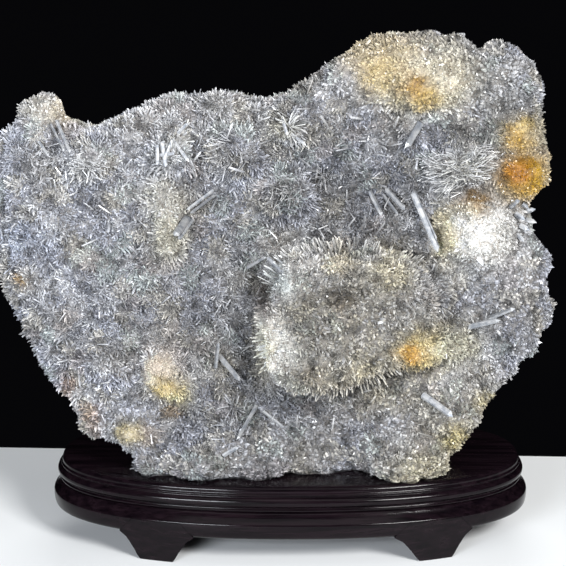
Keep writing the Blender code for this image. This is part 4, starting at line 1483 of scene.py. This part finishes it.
def build_stand(bed, lacquer):
    """The two boards and four feet; the plate's socket and the feet's seats are cut into them."""
    socket = [socket_cutter(bed)]
    seats = []
    for side in FOOT_X:
        seats += [add_object("seat", mesh) for mesh in foot_meshes("seat", side, SEAM).values()]
    pieces = {
        "stand_platform": oval_board("platform_board", PLATFORM_PROFILE, socket, lacquer),
        "stand_base": oval_board("base_board", BASE_PROFILE, seats, lacquer),
    }
    for side in FOOT_X:
        for end, mesh in foot_meshes("foot", side).items():
            pieces[f"foot_{end}_{side}"] = add_object(f"{end}_{side}_foot", mesh, lacquer)
    for node, piece in pieces.items():
        piece.data.shade_smooth()
        piece.data.set_sharp_from_angle(angle=SHARP_EDGE)
        place_piece(piece, node, slot="lacquered_wood")


# ---------------- materials


class Finish:
    """A material in the making; an input takes a plain value or another node's output."""

    def __init__(self, name):
        self.made = bpy.data.materials.new(name)
        self.made.use_nodes = True
        self.tree = self.made.node_tree

    def feed(self, node, inputs):
        for name, value in inputs.items():
            if isinstance(value, bpy.types.NodeSocket):
                self.tree.links.new(value, node.inputs[name])
            else:
                node.inputs[name].default_value = value

    def add(self, kind, inputs, **settings):
        """The outputs of a new node."""
        node = self.tree.nodes.new("ShaderNode" + kind)
        for name, value in settings.items():
            setattr(node, name, value)
        self.feed(node, inputs)
        return node.outputs

    def place(self, stretch=(1.0, 1.0, 1.0)):
        """Object space, with its own factor along each axis."""
        place = self.add("TexCoord", {})["Object"]
        return self.add("Mapping", {"Vector": place, "Scale": stretch})["Vector"]

    def noise(self, place, scale, detail):
        """Noise whose features are about 1 / scale metres in size."""
        return self.add("TexNoise", {"Vector": place, "Scale": scale, "Detail": detail})["Fac"]

    def ramp(self, source, low, high=WHITE, start=0.3, end=0.7):
        """Maps a value between two colours."""
        colour = self.add("ValToRGB", {"Fac": source})["Color"]
        steps = colour.node.color_ramp.elements
        for step, position, tone in zip(steps, (start, end), (low, high)):
            step.position = position
            step.color = (*tone, 1.0)
        return colour

    def grey_ramp(self, source, low, high):
        return self.ramp(source, (low,) * 3, (high,) * 3)

    def multiplied(self, first, *others):
        for other in others:
            inputs = {"Factor": 1.0, "A": first, "B": other}
            first = self.add("Mix", inputs, data_type="RGBA", blend_type="MULTIPLY")["Result"]
        return first

    def tint(self):
        """The colour painted on the mesh, with its painted light and shade."""
        return self.add("Attribute", {}, attribute_name="tint")["Color"]

    def finished(self, relief=None, **inputs):
        """The material, with what its shader takes, and relief from a height in metres."""
        if relief:
            height, strength, distance = relief
            bump = self.add("Bump", {"Height": height, "Strength": strength, "Distance": distance})
            inputs["Normal"] = bump["Normal"]
        shader = self.tree.nodes["Principled BSDF"]
        self.feed(shader, {name.replace("_", " "): value for name, value in inputs.items()})
        return self.made


def needle_quartz():
    finish = Finish("frosted needle quartz")
    veil = finish.noise(finish.place(), 700.0, 3.0)
    grain = finish.noise(finish.place(), 2600.0, 2.0)
    return finish.finished(
        Base_Color=finish.multiplied(finish.tint(), finish.ramp(veil, (0.74, 0.75, 0.78))),
        Roughness=finish.grey_ramp(veil, 0.14, 0.4),
        IOR=QUARTZ_IOR,
        Transmission_Weight=0.3,
        relief=(grain, 0.15, 0.0002),
    )


def clear_quartz():
    finish = Finish("clear quartz")
    veil = finish.noise(finish.place(), 260.0, 3.0)
    cloud = finish.ramp(veil, (0.55, 0.58, 0.63), start=0.36, end=0.6)
    return finish.finished(
        Base_Color=finish.multiplied(finish.tint(), cloud),
        Roughness=finish.grey_ramp(veil, 0.05, 0.16),
        IOR=QUARTZ_IOR,
        Transmission_Weight=0.2,
        relief=(veil, 0.1, 0.0003),
    )


def bed_rock():
    """Grainy rock in patches, with fine cracks whose lines wander."""
    finish = Finish("quartz matrix")
    place = finish.place()
    coarse = finish.noise(place, 90.0, 6.0)
    fine = finish.noise(finish.place(), 900.0, 4.0)
    shift = (CRACK_WANDER,) * 3
    wander = finish.add(
        "VectorMath", {0: coarse.node.outputs["Color"], 1: shift, 2: place}, operation="MULTIPLY_ADD")
    crack = finish.add(
        "TexVoronoi", {"Vector": wander["Vector"], "Scale": CRACK_SCALE}, feature="DISTANCE_TO_EDGE")
    patches = finish.ramp(coarse, (0.62, 0.58, 0.54))
    grains = finish.ramp(fine, (0.6, 0.6, 0.62))
    cracks = finish.ramp(crack["Distance"], (0.5, 0.46, 0.43), start=0.0, end=0.06)
    return finish.finished(
        Base_Color=finish.multiplied(finish.tint(), patches, grains, cracks),
        Roughness=0.5,
        relief=(fine, 0.7, 0.0012),
    )


def lacquered_wood():
    """Nearly black wood, its grain drawn out along x."""
    finish = Finish("dark lacquered hardwood")
    grain = finish.noise(finish.place((0.05, 0.6, 1.0)), 420.0, 5.0)
    pores = finish.noise(finish.place((0.04, 1.0, 1.0)), 900.0, 3.0)
    worn = finish.noise(finish.place(), 45.0, 4.0)
    wood = finish.ramp(grain, (0.0018, 0.001, 0.0018), (0.0082, 0.0044, 0.0064))
    dark = finish.ramp(pores, (0.5, 0.5, 0.5), start=0.35, end=0.5)
    return finish.finished(
        Base_Color=finish.multiplied(wood, dark),
        Roughness=finish.grey_ramp(worn, 0.1, 0.2),
        Specular_IOR_Level=0.15,
        relief=(pores, 0.12, 0.0003),
    )


def table_top():
    finish = Finish("pale table")
    cloud = finish.noise(finish.place(), 6.0, 2.0)
    tone = finish.ramp(cloud, (0.77, 0.79, 0.8), (0.8, 0.82, 0.83))
    return finish.finished(Base_Color=tone, Roughness=0.55)


# ---------------- bed piece


def broken_rock(points):
    """Colours of the broken back: grey rock with pale veins and patches of rust."""
    vein = np.clip(1.0 - np.abs(smooth_noise(points, 26.0, channel=9.0)) * 9.0, 0.0, 1.0)
    rust = np.clip(smooth_noise(points, 40.0, channel=15.0) * 2.2 - 0.3, 0.0, 1.0)
    colour = toward(np.array(linear(*ROCK)), linear(*ROCK_VEIN), vein)
    return toward(colour, linear(*ROCK_RUST), rust * 0.6)


def paint_bed(bed):
    """The bed takes its crystals' colours, darkened as painted shade in the gaps between them, and shows
    its rock where it is turned away.
    """
    points, _, normals = arrays_of(bed)
    count = len(points)
    plain = {
        "place": points,
        "pale": np.zeros(count),
        "middle": np.zeros(count),
        "tint": np.ones((count, 3)),
    }
    velvet = spread_share(VELVET_PLACES, to_slab(points))
    # darker than its crystals: painted shade in the gaps, less of it under velvet
    colour = crystal_colours(plain, np.random.default_rng(SEED + 1)) * (0.55 + 0.35 * velvet)[:, None]
    behind = np.clip(-facing(normals) * 2.5 - 0.2, 0.0, 1.0)
    paint(bed, toward(colour, broken_rock(points), behind))


# ---------------- light, camera and table


def add_light(name, place, target, size, power, colour, mirrored):
    """An area light that points at this height over the stand's centre."""
    data = bpy.data.lights.new(name, "AREA")
    data.shape = "RECTANGLE"
    data.size, data.size_y = size
    data.energy = power
    data.color = colour
    obj = bpy.data.objects.new(name, data)
    obj.visible_glossy = mirrored
    obj.location = STAND_CENTRE + Vector(place)
    way = STAND_CENTRE + Vector((0.0, 0.0, target)) - obj.location
    obj.rotation_euler = way.to_track_quat("-Z", "Y").to_euler()
    bpy.context.scene.collection.objects.link(obj)


def build_lights():
    world = bpy.data.worlds.new("studio")
    world.use_nodes = True
    world.node_tree.nodes["Background"].inputs["Color"].default_value = NIGHT
    bpy.context.scene.world = world
    bpy.context.scene.view_settings.view_transform = "Standard"
    for row in LIGHTS:
        add_light(*row)


def build_camera():
    along = Vector((0.0, math.cos(CAMERA_DIP), -math.sin(CAMERA_DIP)))
    data = bpy.data.cameras.new("camera")
    data.sensor_width = 36.0
    half = IMAGE_SIDE / 2 * METRES_PER_PIXEL / CAMERA_DISTANCE
    data.lens = data.sensor_width / 2 / half
    camera = bpy.data.objects.new("camera", data)
    camera.location = STAND_CENTRE + CAMERA_TARGET - along * CAMERA_DISTANCE
    camera.rotation_euler = along.to_track_quat("-Z", "Y").to_euler()
    bpy.context.scene.collection.objects.link(camera)
    bpy.context.scene.camera = camera


def build_table():
    """A table top whose back edge can be seen behind the stand."""
    _, depth, thick = TABLE_SIZE
    bm = bmesh.new()
    bmesh.ops.create_cube(bm, size=1.0)
    bmesh.ops.scale(bm, verts=bm.verts, vec=TABLE_SIZE)
    bmesh.ops.translate(bm, verts=bm.verts, vec=(0.0, TABLE_BACK_EDGE - depth / 2, -thick / 2))
    bmesh.ops.bevel(bm, geom=bm.edges, offset=0.003, segments=3, affect="EDGES")
    table = add_object("table", mesh_from("table", bm), table_top())
    table.location = STAND_CENTRE
    table.rotation_euler.z = TABLE_TURN


# ---------------- whole


def surface_of(mesh):
    bm = bmesh.new()
    bm.from_mesh(mesh)
    surface = BVHTree.FromBMesh(bm)
    bm.free()
    return surface


def main():
    build_camera()
    build_lights()
    build_table()
    chance = np.random.default_rng(SEED)
    bed = plate_bed()
    rosettes = rosette_centres(arrays_of(bed), chance)
    raise_rosettes(bed, rosettes)
    build_stand(bed, lacquered_wood())
    surface = surface_of(bed)
    ends = large_ends(surface)
    crystals = build_crystals(bed, rosettes, surface, ends, needle_quartz(), chance)
    large = build_large(ends, clear_quartz())
    paint_bed(bed)
    bed.shade_flat()
    bed_piece = add_object("quartz_bed", bed, bed_rock())
    for piece in (bed_piece, large, *crystals):
        place_piece(piece, "quartz_cluster", slot="quartz")


main()
